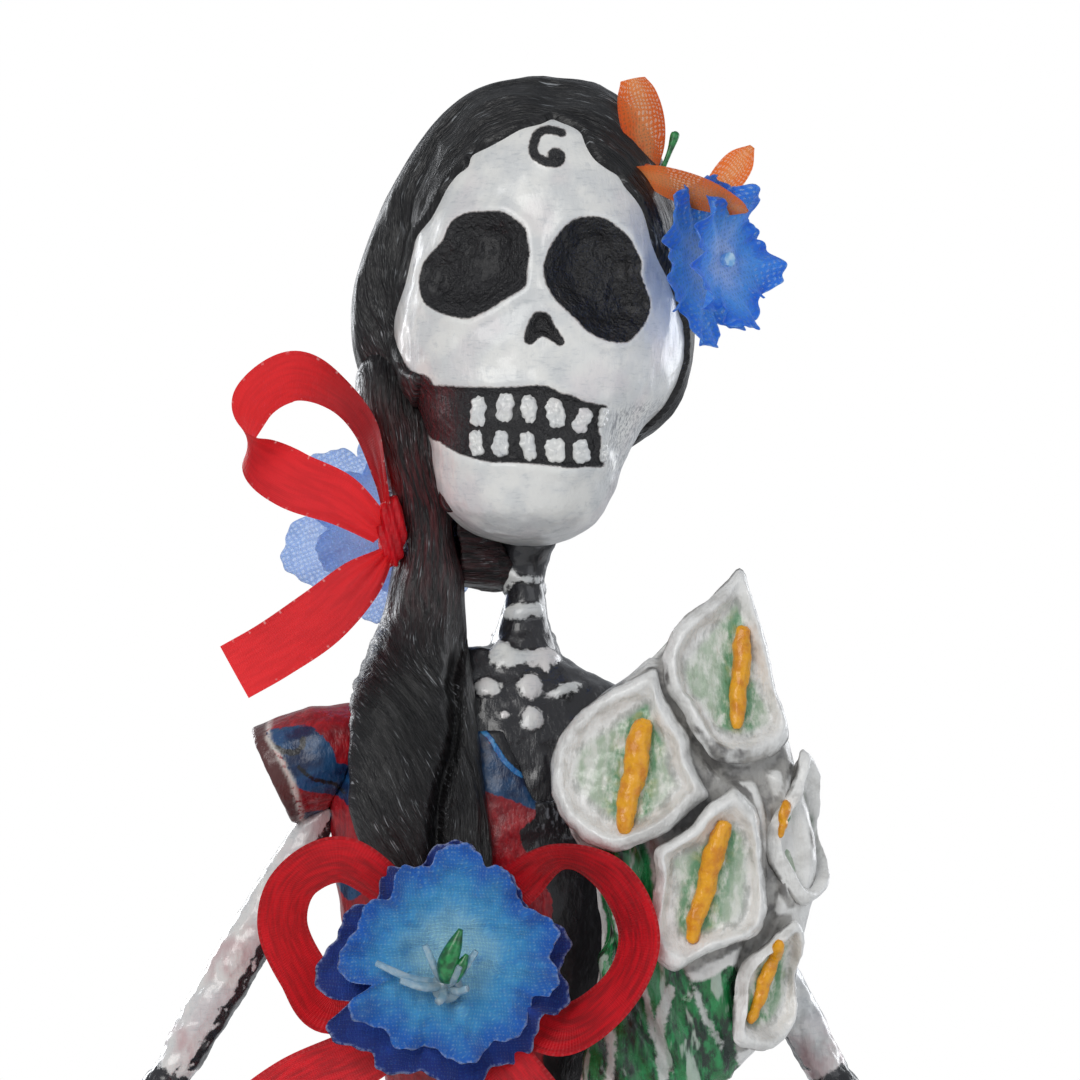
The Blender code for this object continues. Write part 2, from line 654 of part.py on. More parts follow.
def make_chest_flower(tied):
    """Two layers of blue cloth petals, a cup of stamens and a green leaf, on the bow's knot."""
    centre = mm(-10.8, -35.5, 49.0)
    turn = facing((0.04, -1, 0.08))
    outward = turn @ Vector((0, 0, 1))
    outer = petal_disc("chest_flower_outer", centre, turn, CHEST_FLOWER_RADIUS, 6, 1.5 * MM, PETAL_DARK,
                       phase=0.5)
    inner = petal_disc("chest_flower_inner", centre + outward * 2.6 * MM, turn,
                       0.86 * CHEST_FLOWER_RADIUS, 5, 3 * MM,
                       PETAL, ruffle=0.06)
    cup = rod("chest_flower_stamens", [centre + outward * d * MM for d in (-6.5, -1, 3.3, 4.4, 6.5)],
              [1.1 * MM, 1.1 * MM, 1.4 * MM, 2.5 * MM, 2.9 * MM], 10, STAMEN, 1)
    leaf = rod("chest_flower_leaf", [centre + outward * 6.9 * MM,
                                     centre + outward * 7.5 * MM + Vector((0, 0, 3 * MM)),
                                     centre + outward * 7.8 * MM + Vector((0, 0, 7 * MM))],
               [1.3 * MM, 1.2 * MM, 0.4 * MM], 8, LEAF, 2)
    seat(cup, *tied)
    seat(inner, cup)
    seat(outer, cup, *tied)
    seat(leaf, cup)


def make_bow(hair):
    """A bow at the end of the ponytail: a knot, two loops and two tails."""
    knot_place = mm(-10.8, -26.6, 50)
    bm = bmesh.new()
    bmesh.ops.create_uvsphere(bm, u_segments=14, v_segments=8, radius=1)
    for v in bm.verts:
        v.co = knot_place + Vector((v.co.x * 5.2 * MM, v.co.y * 3.6 * MM, v.co.z * 4.4 * MM))
    knot = keep("bow_knot", bm, RIBBON)
    seat(knot, *hair)
    wide = RIBBON_WIDTH / MM
    loop_right = ribbon("bow_loop_right", (
        (-14, -28.0, 52.5, 0.2, -0.3, 1, 4.5), (-20, -30.8, 60, 0.4, -0.5, 0.8, 8),
        (-29, -33, 66.5, 0.2, -0.9, 0.4, wide),
        (-38.5, -31.0, 62.5, 0.1, -1, 0.1, wide), (-41.5, -27.5, 53.5, 0.1, -1, -0.1, wide),
        (-36, -27.0, 43.5, 0.3, -0.9, -0.3, wide), (-25, -28.0, 41.5, 0.2, -0.3, 0.9, 8),
        (-14, -27.2, 47, 0.1, 0, 1, 4)), RIBBON)
    loop_left = ribbon("bow_loop_left", (
        (-7.6, -28.0, 52.5, -0.2, -0.3, 1, 4.5), (-1, -31, 59.5, -0.4, -0.3, 0.8, 8),
        (8, -33.5, 65.5, -0.2, -0.9, 0.3, wide),
        (16.5, -35.5, 62, 0.5, -0.7, 0.4, wide), (20.5, -37.5, 53, 0.95, -0.3, 0, wide),
        (17, -37.5, 43.5, 0.75, -0.35, -0.5, wide), (9, -34.5, 37.5, 0.2, -0.4, -0.9, wide),
        (0.5, -30.5, 41, -0.3, -0.1, -0.9, 8), (-7.8, -27.2, 47, -0.3, 0, -0.9, 4)), RIBBON)
    tail_right = ribbon("bow_tail_right", (
        (-12.5, -28.5, 45.5, -0.8, -0.1, 0.6, 3.5), (-17, -30.5, 38, -0.7, -0.1, 0.7, 8),
        (-26, -32.0, 32, -0.35, -0.1, 0.93, wide), (-37, -33, 27, -0.5, 0, 0.85, wide),
        (-47, -33, 19, -0.7, 0, 0.7, wide),
        (-55, -32, 9, -0.78, 0, 0.62, wide)), RIBBON)
    tail_left = ribbon("bow_tail_left", (
        (-9.2, -29.0, 46, 0.8, 0, 0.5, 4), (-5, -33.0, 37, 0.8, 0, 0.5, 8),
        (1, -36.5, 29, 0.85, 0, 0.45, wide),
        (7, -39, 21, 0.9, 0, 0.4, wide), (11.5, -40, 10, 0.97, 0, 0.2, wide),
        (12, -40, -3, 1, 0, 0, wide)), RIBBON)
    for piece in (loop_right, loop_left, tail_right, tail_left):
        seat(piece, knot, *hair)
    seat(tail_right, loop_right)
    seat(tail_left, loop_left)
    return knot, loop_right, loop_left, tail_right, tail_left


def make_hair_ribbon(tail, nape, head):
    """The ribbon that ties the ponytail beside the jaw: a knot, one loop and one tail."""
    bm = bmesh.new()
    knot_place = mm(-20.6, -9.5, 121.5)
    bmesh.ops.create_uvsphere(bm, u_segments=12, v_segments=8, radius=1)
    for v in bm.verts:
        v.co = knot_place + Vector((v.co.x * 2.6 * MM, v.co.y * 2.4 * MM, v.co.z * 6.2 * MM))
    knot = keep("hair_ribbon_knot", bm, RIBBON)
    seat(knot, tail)
    wide = RIBBON_WIDTH / MM
    loop = ribbon("hair_ribbon_loop", (
        (-21.2, -9.5, 125.5, 0.3, -1, 0, 3.5), (-22.3, -9.2, 131, 0.3, -1, 0, 7),
        (-25, -8.0, 139.5, 0.4, -0.9, 0.2, wide),
        (-30.5, -7.5, 145.5, 0.2, -0.8, 0.6, wide), (-38, -8.5, 148.3, -0.1, -0.6, 0.9, wide),
        (-44.8, -10.5, 143.5, -0.5, -0.7, 0.5, wide), (-45, -13, 135.5, 0, -0.6, 0.8, wide),
        (-38, -14, 130.5, 0.2, -0.1, 1, wide), (-29.5, -13.2, 127, 0.3, 0, 1, 9),
        (-22.2, -10.6, 121.5, 0.3, 0, 1, 5)),
        RIBBON)
    tail_strip = ribbon("hair_ribbon_tail", (
        (-21.6, -10.8, 117.5, -0.6, 0, 0.8, 3), (-26, -12, 113, -0.6, 0, 0.8, 8),
        (-33, -12.2, 106.5, -0.5, 0, 0.86, wide), (-41, -11.5, 101, -0.4, 0, 0.92, wide),
        (-48, -10.5, 97, -0.23, 0, 0.97, wide)), RIBBON)
    seat(loop, knot, tail, *nape, *head)
    seat(tail_strip, knot, tail, loop, *head)
    return knot, loop, tail_strip


def make_nape_flower(touching):
    """A cloth flower pinned behind the ponytail."""
    centre = mm(-22.5, 13.0, 123)
    turn = facing((-0.15, -1, 0.05), 0.4)
    outer = petal_disc("nape_flower_outer", centre, turn, NAPE_FLOWER_RADIUS, 6, 1.0 * MM, PETAL)
    inner = petal_disc("nape_flower_inner", centre + turn @ Vector((0, 0, 2.2 * MM)), turn,
                       0.72 * NAPE_FLOWER_RADIUS, 5,
                       1.6 * MM, PETAL_DARK)
    pin = rod("nape_flower_pin", [centre + turn @ Vector((0, 0, d * MM)) for d in (2.7, 6, 12)],
              [0.9 * MM, 0.9 * MM, 0.9 * MM], 8, LEAF, 1)
    seat(inner, pin, *touching)
    seat(outer, *touching)
    seat(pin, *touching)
    return outer, inner


def make_hair_flowers(cap, skull):
    """A blue flower at her left temple with an orange flower above it."""
    centre = head_place(28.5 * MM, -14 * MM, 12 * MM)
    turn = facing((0.67, -0.74, 0.08), 0.3)
    outward = turn @ Vector((0, 0, 1))
    outer = petal_disc("hair_flower_outer", centre, turn, HAIR_FLOWER_RADIUS, 6, 2.6 * MM, PETAL_DARK,
                       ruffle=0.12)
    inner = petal_disc("hair_flower_inner", centre + outward * 3.0 * MM, turn, 0.8 * HAIR_FLOWER_RADIUS,
                       5, 4.2 * MM, PETAL,
                       ruffle=0.1)
    stem = rod("hair_flower_stem", [centre + outward * d * MM for d in (-13, -5, 0, 4.6)],
               [0.9 * MM, 0.9 * MM, 0.9 * MM, 1.3 * MM], 8, LEAF, 1)
    seat(stem, cap, skull)
    seat(outer, cap, skull, stem)
    seat(inner, stem)
    up_petal = ribbon("orange_petal_top", (
        (23.6, -12, 185, 1, 0.5, 0.2, 3.5), (22.8, -11.5, 190, 1, 0.5, 0.2, 6),
        (21.6, -10.5, 195, 1, 0.5, 0.2, 6.5),
        (21.8, -9.5, 199.6, 1, 0.5, 0.2, 5)), ORANGE, steps=3)
    side_petal = ribbon("orange_petal_side", (
        (22.5, -15, 183.4, 0.3, -0.75, 0.6, 3.5), (27, -17, 181.5, 0.3, -0.75, 0.6, 6),
        (33, -17.5, 179, 0.3, -0.75, 0.6, 7),
        (39.5, -16.5, 176.6, 0.3, -0.75, 0.6, 5)), ORANGE, steps=3)
    far_petal = ribbon("orange_petal_far", (
        (36, -9, 180.5, 0.7, -0.3, -0.6, 4), (38.5, -8.2, 184, 0.7, -0.3, -0.6, 5.5),
        (41.8, -7.5, 187.8, 0.7, -0.3, -0.6, 4)),
        ORANGE, steps=3)
    eye = rod("orange_flower_stamen", [mm(*p) for p in ((25.2, -12.6, 182.5), (27.5, -11, 187),
                                                        (28.6, -10.5, 190))],
              [0.5 * MM, 0.45 * MM, 0.7 * MM], 8, LEAF, 2)
    heart = rod("orange_flower_heart", [head_place(*(x * MM for x in p))
                                        for p in ((14, -15, 28), (17.5, -17, 29), (21, -18.5, 29))],
                [1.6 * MM, 1.8 * MM, 1.2 * MM], 8, ORANGE, 2)
    seat(heart, cap, skull)
    for petal in (up_petal, side_petal, far_petal):
        seat(petal, heart, cap, skull, outer, inner)
    seat(side_petal, up_petal)
    seat(eye, heart, side_petal, up_petal, cap)


# ---------------------------------------------------------------- bouquet

# (above the waist, left, right, front share, back share) in millimetres
BOUQUET_LEVELS = ((112.5, 37.2, 40.6, 0.62, 0.95), (106, 31, 41.5, 0.72, 0.90),
                  (99, 23, 43.6, 0.82, 0.84), (92, 14, 45.3, 0.92, 0.86),
                  (85, 9.5, 47.6, 0.97, 0.92), (77, 8.2, 50, 1.0, 1.0), (70, 10.5, 52, 1.0, 1.0),
                  (63, 14, 52.3, 1.0, 1.0),
                  (54, 15.5, 50.4, 0.98, 1.0), (47, 15, 49, 0.96, 1.0), (40, 14, 47, 0.93, 1.02),
                  (33, 13, 42, 0.92, 1.05),
                  (26, 12, 35, 0.92, 1.08), (17, 10, 26, 0.92, 1.12), (8, 7, 19.5, 0.92, 1.15),
                  (-2, 4, 16, 0.93, 1.15),
                  (-12, 2, 17, 0.95, 1.12), (-18, 1, 18, 0.96, 1.12))


def make_bouquet(*touching):
    levels = [(z, l, r, -BOUQUET_FRONT / MM * front, -BOUQUET_BACK / MM * back) for z, l, r, front,
              back in BOUQUET_LEVELS]
    core = lock("bouquet_core", levels, WHITE_PAINT, sides=22)
    seat(core, *touching)
    return core


def make_calla(number, core, place, face, up, half_wide, half_tall, point):
    """One calla lily: a cupped spathe with a pointed tip, and its spadix."""
    face, up = Vector(face).normalized(), Vector(up)
    up = (up - face * up.dot(face)).normalized()
    across = up.cross(face)
    centre = mm(*place)
    bm = bmesh.new()
    steps, sides = 6, 18
    bmesh.ops.create_uvsphere(bm, u_segments=sides, v_segments=steps, radius=1)
    for v in bm.verts:
        down = math.acos(max(-1.0, min(1.0, v.co.z))) / (math.pi / 2)
        out = down if down <= 1 else 2 - down
        angle = math.atan2(v.co.y, v.co.x)
        tall = out * math.sin(angle)
        wide = out * math.cos(angle) * (1 - 0.25 * max(0.0, -tall))
        tip = point * max(0.0, tall) ** 3
        lift = 2.2 * MM * out ** 2 - (0 if down <= 1 else SPATHE_THICKNESS * (1 - out ** 3))
        lift -= 3.2 * MM * (out * math.cos(angle)) ** 2
        v.co = centre + across * wide * half_wide * MM + up * (tall * half_tall + tip) * MM + face * lift
    spathe = keep(f"calla_spathe_{number}", bm, WHITE_PAINT)
    seat(spathe, core)
    reach = 0.52 * half_tall
    spadix = rod(f"calla_spadix_{number}",
                 [centre + up * s * reach * MM + face * (1.35 * MM + abs(s) ** 2 * 1.0 * MM)
                                            + across * s * 0.8 * MM for s in (-1, -0.4, 0.4, 1)],
                 [SPADIX_RADIUS * r for r in (0.8, 1.0, 1.05, 0.9)], 8, SPADIX, 2)
    seat(spadix, spathe, core)
    return spathe, spadix


CALLAS = (
    ((36.6, -30.0, 96.0), (0.28, -1, 0.25), (0.04, 0, 1), 10.0, 14.5, 5.0),
    ((20.3, -34.0, 81.0), (-0.15, -1, 0.12), (0.16, 0, 1), 12.3, 14.0, 2.5),
    ((34.5, -35.6, 62.5), (0.10, -1, -0.05), (0.28, 0, 1), 10.2, 13.8, 2.0),
    ((49.0, -26.5, 69.5), (0.86, -0.62, 0.08), (-0.05, 0, 1), 8.8, 12.5, 2.0),
    ((44.6, -31.0, 46.0), (0.62, -0.92, -0.18), (0.30, 0, 1), 7.6, 12.0, 2.0),
)


def main():
    base = make_base()
    dowel = make_dowel(base)
    spine = make_spine_wire()
    torso = make_torso(dowel, spine)
    skirt, _ = make_skirt(base, torso)
    blouse = make_blouse(torso)
    sash = make_sash(skirt, blouse, torso)
    skull = make_skull(spine)
    make_eye_sockets(skull)
    neck = make_neck(torso, skull, spine)
    sleeve_right = make_sleeve("sleeve_right", -1, blouse, torso)
    sleeve_left = make_sleeve("sleeve_left", 1, blouse, torso)
    arm_right = make_upper_arm("right", -1, torso, blouse, sleeve_right)
    arm_left = make_upper_arm("left", 1, torso, blouse, sleeve_left)
    cap = make_hair_cap(skull)
    tail, roll, outer, inner = make_ponytail(skull, cap, torso, blouse, sleeve_right, neck)
    nape = make_nape_flower((tail, roll, neck, cap, torso))
    make_hair_ribbon(tail, nape, (cap, skull))
    bow = make_bow((outer, inner, blouse))
    make_chest_flower(bow)
    make_hair_flowers(cap, skull)
    core = make_bouquet(blouse, torso, sleeve_left, arm_left, skirt, sash)
    done = []
    for number, calla in enumerate(CALLAS, 1):
        spathe, spadix = make_calla(number, core, *calla)
        seat(spathe, *done)
        done += [spathe, spadix]
    elbow_right, right_place = make_elbow("right", -1, arm_right)
    elbow_left, left_place = make_elbow("left", 1, arm_left)
    wrist_right = mm(-29, -13, -9)
    forearm_right = rod("forearm_right", [right_place, right_place.lerp(wrist_right,
            0.45) + Vector((0, -1 * MM, 0)), wrist_right],
                        [0.75 * FOREARM_RADIUS, FOREARM_RADIUS, 0.62 * FOREARM_RADIUS], 12, BONE)
    seat(forearm_right, elbow_right, arm_right)
    make_hand("right", wrist_right, Vector((0.45, 1, 0.0)), Vector((0.75, -0.3, -0.62)), 2.0 * MM,
              forearm_right,
              (sash, skirt))
    wrist_left = mm(24, -38, 6)
    forearm_left = rod("forearm_left", [left_place, left_place.lerp(wrist_left,
                                                                    0.5) + Vector((0, -3 * MM, 0)),
                                                                    wrist_left],
                       [0.75 * FOREARM_RADIUS, FOREARM_RADIUS, 0.62 * FOREARM_RADIUS], 12, BONE)
    seat(forearm_left, elbow_left, arm_left, core)
    make_hand("left", wrist_left, Vector((0.1, 1, 0)), Vector((-1, 0.1, -0.12)), 3.4 * MM, forearm_left,
              (core, bow[4]))


for old in list(bpy.data.objects):
    bpy.data.objects.remove(old)
FIGURE = bpy.data.collections.new("Catrina figure")
CUTTERS = bpy.data.collections.new("Cutters")
bpy.context.scene.collection.children.link(FIGURE)
bpy.context.scene.collection.children.link(CUTTERS)
CUTTERS.hide_render = True
WHOLE = {}                  # each piece's own shape, before its neighbours are cut from it

CARD = finish("card", (0.05, 0.04, 0.04), 0.6)
WOOD = finish("wood", (0.62, 0.45, 0.28), 0.7)
STEEL = finish("wire", (0.55, 0.55, 0.56), 0.35, 1.0)
BLACK = finish("black_paint", (0.02, 0.02, 0.022), 0.35)
BONE = finish("bone_paint", (0.78, 0.78, 0.76), 0.38)
HAIR = finish("hair_paint", (0.025, 0.025, 0.027), 0.35)
BLOUSE_PAPER = finish("blouse_paint", (0.35, 0.03, 0.05), 0.4)
SKIRT_PAPER = finish("skirt_paint", (0.03, 0.08, 0.2), 0.4)
SASH_PAPER = finish("sash_paint", (0.03, 0.03, 0.035), 0.4)
WHITE_PAINT = finish("lily_paint", (0.75, 0.77, 0.74), 0.38)
SPADIX = finish("spadix_paint", (0.82, 0.42, 0.02), 0.4)
LEAF = finish("leaf_green", (0.04, 0.22, 0.08), 0.5)
RIBBON = finish("ribbon_satin", (0.62, 0.01, 0.03), 0.3)
PETAL = finish("petal_blue", (0.08, 0.33, 0.7), 0.8)
PETAL_DARK = finish("petal_dark_blue", (0.03, 0.1, 0.42), 0.8)
ORANGE = finish("petal_orange", (0.9, 0.32, 0.12), 0.8)
STAMEN = finish("stamen_plastic", (0.7, 0.82, 0.86), 0.25)

main()
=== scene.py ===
"""Looks of the papier-mache skeleton figure: painted skull, combed hair, blouse, lilies, ribbons and flowers.

Places are in millimetres: x to the figure's left, y back, z up from the waist. The frame's own metres come last.
"""
import math

import bmesh
import bpy
import numpy as np
from mathutils import Matrix, Vector, noise
from mathutils.bvhtree import BVHTree


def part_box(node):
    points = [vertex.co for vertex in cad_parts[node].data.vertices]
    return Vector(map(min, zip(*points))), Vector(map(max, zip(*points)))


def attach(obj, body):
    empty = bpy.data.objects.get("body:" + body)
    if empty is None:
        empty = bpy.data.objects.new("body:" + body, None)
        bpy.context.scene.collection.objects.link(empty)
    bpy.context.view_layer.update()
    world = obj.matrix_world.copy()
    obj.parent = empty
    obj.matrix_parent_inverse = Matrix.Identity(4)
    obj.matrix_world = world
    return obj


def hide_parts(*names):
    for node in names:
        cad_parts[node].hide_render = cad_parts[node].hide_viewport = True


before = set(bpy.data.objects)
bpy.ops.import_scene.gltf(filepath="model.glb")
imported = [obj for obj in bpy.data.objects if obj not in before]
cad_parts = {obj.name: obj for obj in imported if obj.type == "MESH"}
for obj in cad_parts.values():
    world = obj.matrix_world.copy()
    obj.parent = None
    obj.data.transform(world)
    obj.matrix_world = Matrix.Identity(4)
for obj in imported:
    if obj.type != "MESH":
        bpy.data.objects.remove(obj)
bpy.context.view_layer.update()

MM = 0.001
HEAD_HALF_WIDTH = 25.6
HEAD_HALF_HEIGHT = 39
HEAD_FRONT = 26
HEAD_BACK = 27.5
CHEST_HEART = (-10.8, 49)      # middle of the chest flower, from the front
SKIRT_HEIGHT = 295
WAIST_RADIUS = 17.2
HIP_SWELL = 14
HEM_RADIUS = 82
SKIRT_DEPTH = 0.94             # depth over width
BASE_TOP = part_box("base_board")[1][2]
WAIST = Vector((0, 0, BASE_TOP + SKIRT_HEIGHT * MM))
HEAD = np.array((5.2, 0.0, 158.0))
HEAD_TURN = np.array(Matrix.Rotation(math.radians(6), 3, "Y") @ Matrix.Rotation(math.radians(-5), 3, "X"))
RIBBON = 10.3
FINE = 1.0      # share of the full mesh detail


# ---------------------------------------------------------------- shader maths

class Field:
    """A value that varies over a surface. Arithmetic on it adds Math nodes."""

    def __init__(self, finish, socket):
        self.finish = finish
        self.socket = socket

    def math(self, operation, first, second=0.0):
        return self.finish.node("Math", {"operation": operation}, {0: first, 1: second})

    def __add__(self, other):
        return self.math("ADD", self, other)

    def __sub__(self, other):
        return self.math("SUBTRACT", self, other)

    def __rsub__(self, other):
        return self.math("SUBTRACT", other, self)

    def __mul__(self, other):
        return self.math("MULTIPLY", self, other)

    __radd__ = __add__
    __rmul__ = __mul__

    def sine(self):
        return self.math("SINE", self)

    def most(self, other):
        return self.math("MAXIMUM", self, other)

    def size(self):
        return self.math("ABSOLUTE", self)

    def under(self, *layers):
        """This colour under layers of paint, each one (amount, colour)."""
        colour = self
        for amount, layer in layers:
            colour = self.finish.blend(amount, colour, layer)
        return colour

    def rise(self, low, high):
        """0 up to low and 1 from high, with a smooth step between. It falls where low is the higher."""
        return self.finish.node("MapRange", {"interpolation_type": "SMOOTHSTEP"}, {0: self, 1: low, 2: high})


class Finish:
    """A paint, cloth or plastic, and the nodes that it is made of."""

    def __init__(self, name, **fixed):
        self.material = bpy.data.materials.new(name)
        self.material.use_nodes = True
        self.tree = self.material.node_tree
        self.shader = self.tree.nodes["Principled BSDF"]
        for socket, value in fixed.items():
            self.shader.inputs[socket.replace("_", " ")].default_value = value

    def node(self, kind, settings=None, inputs=None, output=0):
        node = self.tree.nodes.new("ShaderNode" + kind)
        for name, value in (settings or {}).items():
            setattr(node, name, value)
        for socket, value in (inputs or {}).items():
            if isinstance(value, Field):
                self.tree.links.new(value.socket, node.inputs[socket])
            else:
                node.inputs[socket].default_value = value
        return Field(self, node.outputs[output])

    def place(self):
        """The piece's own place in millimetres."""
        metres = self.node("TexCoord", output="Object")
        return self.node("VectorMath", {"operation": "SCALE"}, {0: metres, "Scale": 1000.0})

    def mark(self, name, output="Fac"):
        """A value stored on the piece's points."""
        return self.node("Attribute", {"attribute_name": name}, output=output)

    def grain(self, where, pitch, detail=2.0, rough=0.5, stretch=(1, 1, 1)):
        """Noise from 0 to 1 with features about pitch millimetres apart."""
        scaled = self.node("VectorMath", {"operation": "MULTIPLY"}, {0: where, 1: stretch})
        inputs = {"Vector": scaled, "Scale": 1.0 / pitch, "Detail": detail, "Roughness": rough}
        return self.node("TexNoise", {}, inputs)

    def blend(self, amount, first, second):
        return self.node("Mix", {"data_type": "RGBA"}, {0: amount, 6: first, 7: second}, 2)

    def apart(self, where):
        """The three parts of a place."""
        node = self.tree.nodes.new("ShaderNodeSeparateXYZ")
        self.tree.links.new(where.socket, node.inputs[0])
        return [Field(self, out) for out in node.outputs]

    def bump(self, height, millimetres, normal=None):
        inputs = {"Height": height, "Distance": millimetres * MM, "Strength": 1.0}
        if normal:
            inputs["Normal"] = normal
        return self.node("Bump", {}, inputs)

    def wear(self, **links):
        for socket, value in links.items():
            self.tree.links.new(value.socket, self.shader.inputs[socket.replace("_", " ")])
        return self.material

    def glow_through(self, share, colour):
        """Lets this share of the light behind thin cloth through."""
        out = self.tree.nodes["Material Output"]
        through = self.node("BsdfTranslucent", {}, {"Color": colour})
        mixed = self.node("MixShader", {}, {0: share, 1: Field(self, self.shader.outputs[0]), 2: through})
        self.tree.links.new(mixed.socket, out.inputs["Surface"])
        return self.material


def ink(red, green, blue):
    """A paint colour from its everyday 0 to 255 values."""
    def line(v):
        v /= 255
        return v / 12.92 if v <= 0.04045 else ((v + 0.055) / 1.055) ** 2.4
    return (line(red), line(green), line(blue), 1.0)


BLACK = ink(30, 29, 31)


# ---------------------------------------------------------------- mesh tools

def points(piece):
    """The piece's points, in millimetres from the waist."""
    flat = np.empty(len(piece.data.vertices) * 3)
    piece.data.vertices.foreach_get("co", flat)
    return (flat.reshape(-1, 3) - np.array(WAIST)) / MM


def move_to(piece, places):
    piece.data.vertices.foreach_set("co", (places * MM + np.array(WAIST)).ravel())
    piece.data.update()


def put(bm, places):
    """Moves a bmesh's points to places in millimetres from the waist."""
    for v, place in zip(bm.verts, places * MM + np.array(WAIST)):
        v.co = place


def unit_places(bm):
    return np.array([v.co for v in bm.verts])


def join(parts):
    """Several bmeshes as one."""
    whole = bmesh.new()
    for part in parts:
        mesh = bpy.data.meshes.new("part")
        part.to_mesh(mesh)
        part.free()
        whole.from_mesh(mesh)
        bpy.data.meshes.remove(mesh)
    return whole


def disc(around):
    """A flat two-sided disc: its bmesh, how far down each point is (1 at the rim), how far out, and its angle."""
    bm = bmesh.new()
    rings = int(120 * FINE) // 2 * 2
    bmesh.ops.create_uvsphere(bm, u_segments=int(around * FINE) // 4 * 4, v_segments=rings, radius=1)
    ball = unit_places(bm)
    down = np.arccos(np.clip(ball[:, 2], -1, 1)) / (math.pi / 2)
    return bm, down, np.where(down <= 1, down, 2 - down), np.arctan2(ball[:, 1], ball[:, 0])


def normals(piece):
    flat = np.empty(len(piece.data.vertices) * 3)
    piece.data.vertex_normals.foreach_get("vector", flat)
    return flat.reshape(-1, 3)


def store(piece, name, values):
    """Keeps one number, or one vector, for each point, for the shaders to read."""
    values = np.asarray(values, dtype=float)
    kind = "FLOAT" if values.ndim == 1 else "FLOAT_VECTOR"
    layer = piece.data.attributes.new(name, kind, "POINT")
    layer.data.foreach_set("value" if values.ndim == 1 else "vector", values.ravel())


def store_uv(piece, flat):
    """A UV map in millimetres of the cloth's flat cut."""
    layer = piece.data.uv_layers.new(name="cloth")
    corners = np.empty(len(piece.data.loops), dtype=int)
    piece.data.loops.foreach_get("vertex_index", corners)
    layer.data.foreach_set("uv", flat[corners].ravel())


def new_piece(name, bm, *nodes, slot, finish):
    """Makes a finished bmesh a piece that rides on the figure in place of its CAD nodes."""
    mesh = bpy.data.meshes.new(name)
    bm.to_mesh(mesh)
    bm.free()
    piece = bpy.data.objects.new(name.replace(" ", "_"), mesh)
    bpy.context.scene.collection.objects.link(piece)
    mesh.shade_smooth()
    mesh.materials.append(finish)
    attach(piece, "root")
    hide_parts(*nodes)
    return piece


def lumps(places, pitch, seed=0.0, octaves=3):
    """Smooth noise from about -1 to 1 at each place."""
    shift = Vector((seed * 7.1, seed * 3.3, seed * -5.7))
    return np.array([noise.fractal(Vector(p) / pitch + shift, 1.0, 2.0, octaves) for p in places])


def ease(values, low, high):
    """0 below low, 1 above high and smooth between."""
    share = np.clip((values - low) / (high - low), 0, 1)
    return share * share * (3 - 2 * share)


def spline(rows, steps, closed=False):
    """A Catmull-Rom line through rows of numbers, with so many steps between each two."""
    rows = np.array(rows, dtype=float)
    if closed:
        ends = np.vstack([rows[-1:], rows, rows[:2]])
    else:
        ends = np.vstack([2 * rows[:1] - rows[1:2], rows, 2 * rows[-1:] - rows[-2:-1]])
    line = []
    for a, b, c, d in zip(ends, ends[1:], ends[2:], ends[3:]):
        for t in np.arange(steps) / steps:
            line.append(0.5 * (2 * b + (c - a) * t + (2 * a - 5 * b + 4 * c - d) * t * t
                               + (3 * b - a - 3 * c + d) * t ** 3))
    if not closed:
        line.append(rows[-1])
    return np.array(line)


def line_distance(x, z, line, after):
    """How far each place is from the nearest of the short lines between two rows of points."""
    nearest = np.full(len(x), 1e9)
    for (ax, az), (bx, bz) in zip(line, after):
        dx, dz = bx - ax, bz - az
        share = np.clip(((x - ax) * dx + (z - az) * dz) / max(dx * dx + dz * dz, 1e-9), 0, 1)
        nearest = np.minimum(nearest, (x - ax - share * dx) ** 2 + (z - az - share * dz) ** 2)
    return np.sqrt(nearest)


def outline_distance(x, z, *outlines):
    """How far each place is outside the nearest of the smooth closed outlines; inside it is negative."""
    found = []
    for outline in outlines:
        line = spline(outline, 4, closed=True)
        after = np.roll(line, -1, axis=0)
        crossings = np.zeros(len(x), dtype=int)
        for (ax, az), (bx, bz) in zip(line, after):
            if az != bz:
                crossings += ((az > z) != (bz > z)) & (x < (bx - ax) * (z - az) / (bz - az) + ax)
        found.append(line_distance(x, z, line, after) * np.where(crossings % 2 == 1, -1, 1))
    return np.minimum.reduce(found)


def stroke_distance(x, z, *strokes, steps=5):
    """How far each place is outside the nearest brush stroke, each one (path, half width); inside it is negative."""
    lines = [(spline(path, steps), half_width) for path, half_width in strokes]
    return np.minimum.reduce([line_distance(x, z, line, line[1:]) - half_width for line, half_width in lines])


def outline_reach(outline, centre, across, up, angle):
    """How far a flat disc with these axes reaches at each angle, to meet an outline drawn from the front."""
    line = spline(outline, 6, closed=True) - np.array((centre[0], centre[2]))
    around = np.arctan2(line[:, 1], line[:, 0])
    order = np.argsort(around)
    seen = np.cos(angle)[:, None] * across + np.sin(angle)[:, None] * up
    far = np.hypot(line[:, 0], line[:, 1])[order]
    full = np.interp(np.arctan2(seen[:, 2], seen[:, 0]), around[order], far, period=2 * math.pi)
    return full / np.hypot(seen[:, 2], seen[:, 0])


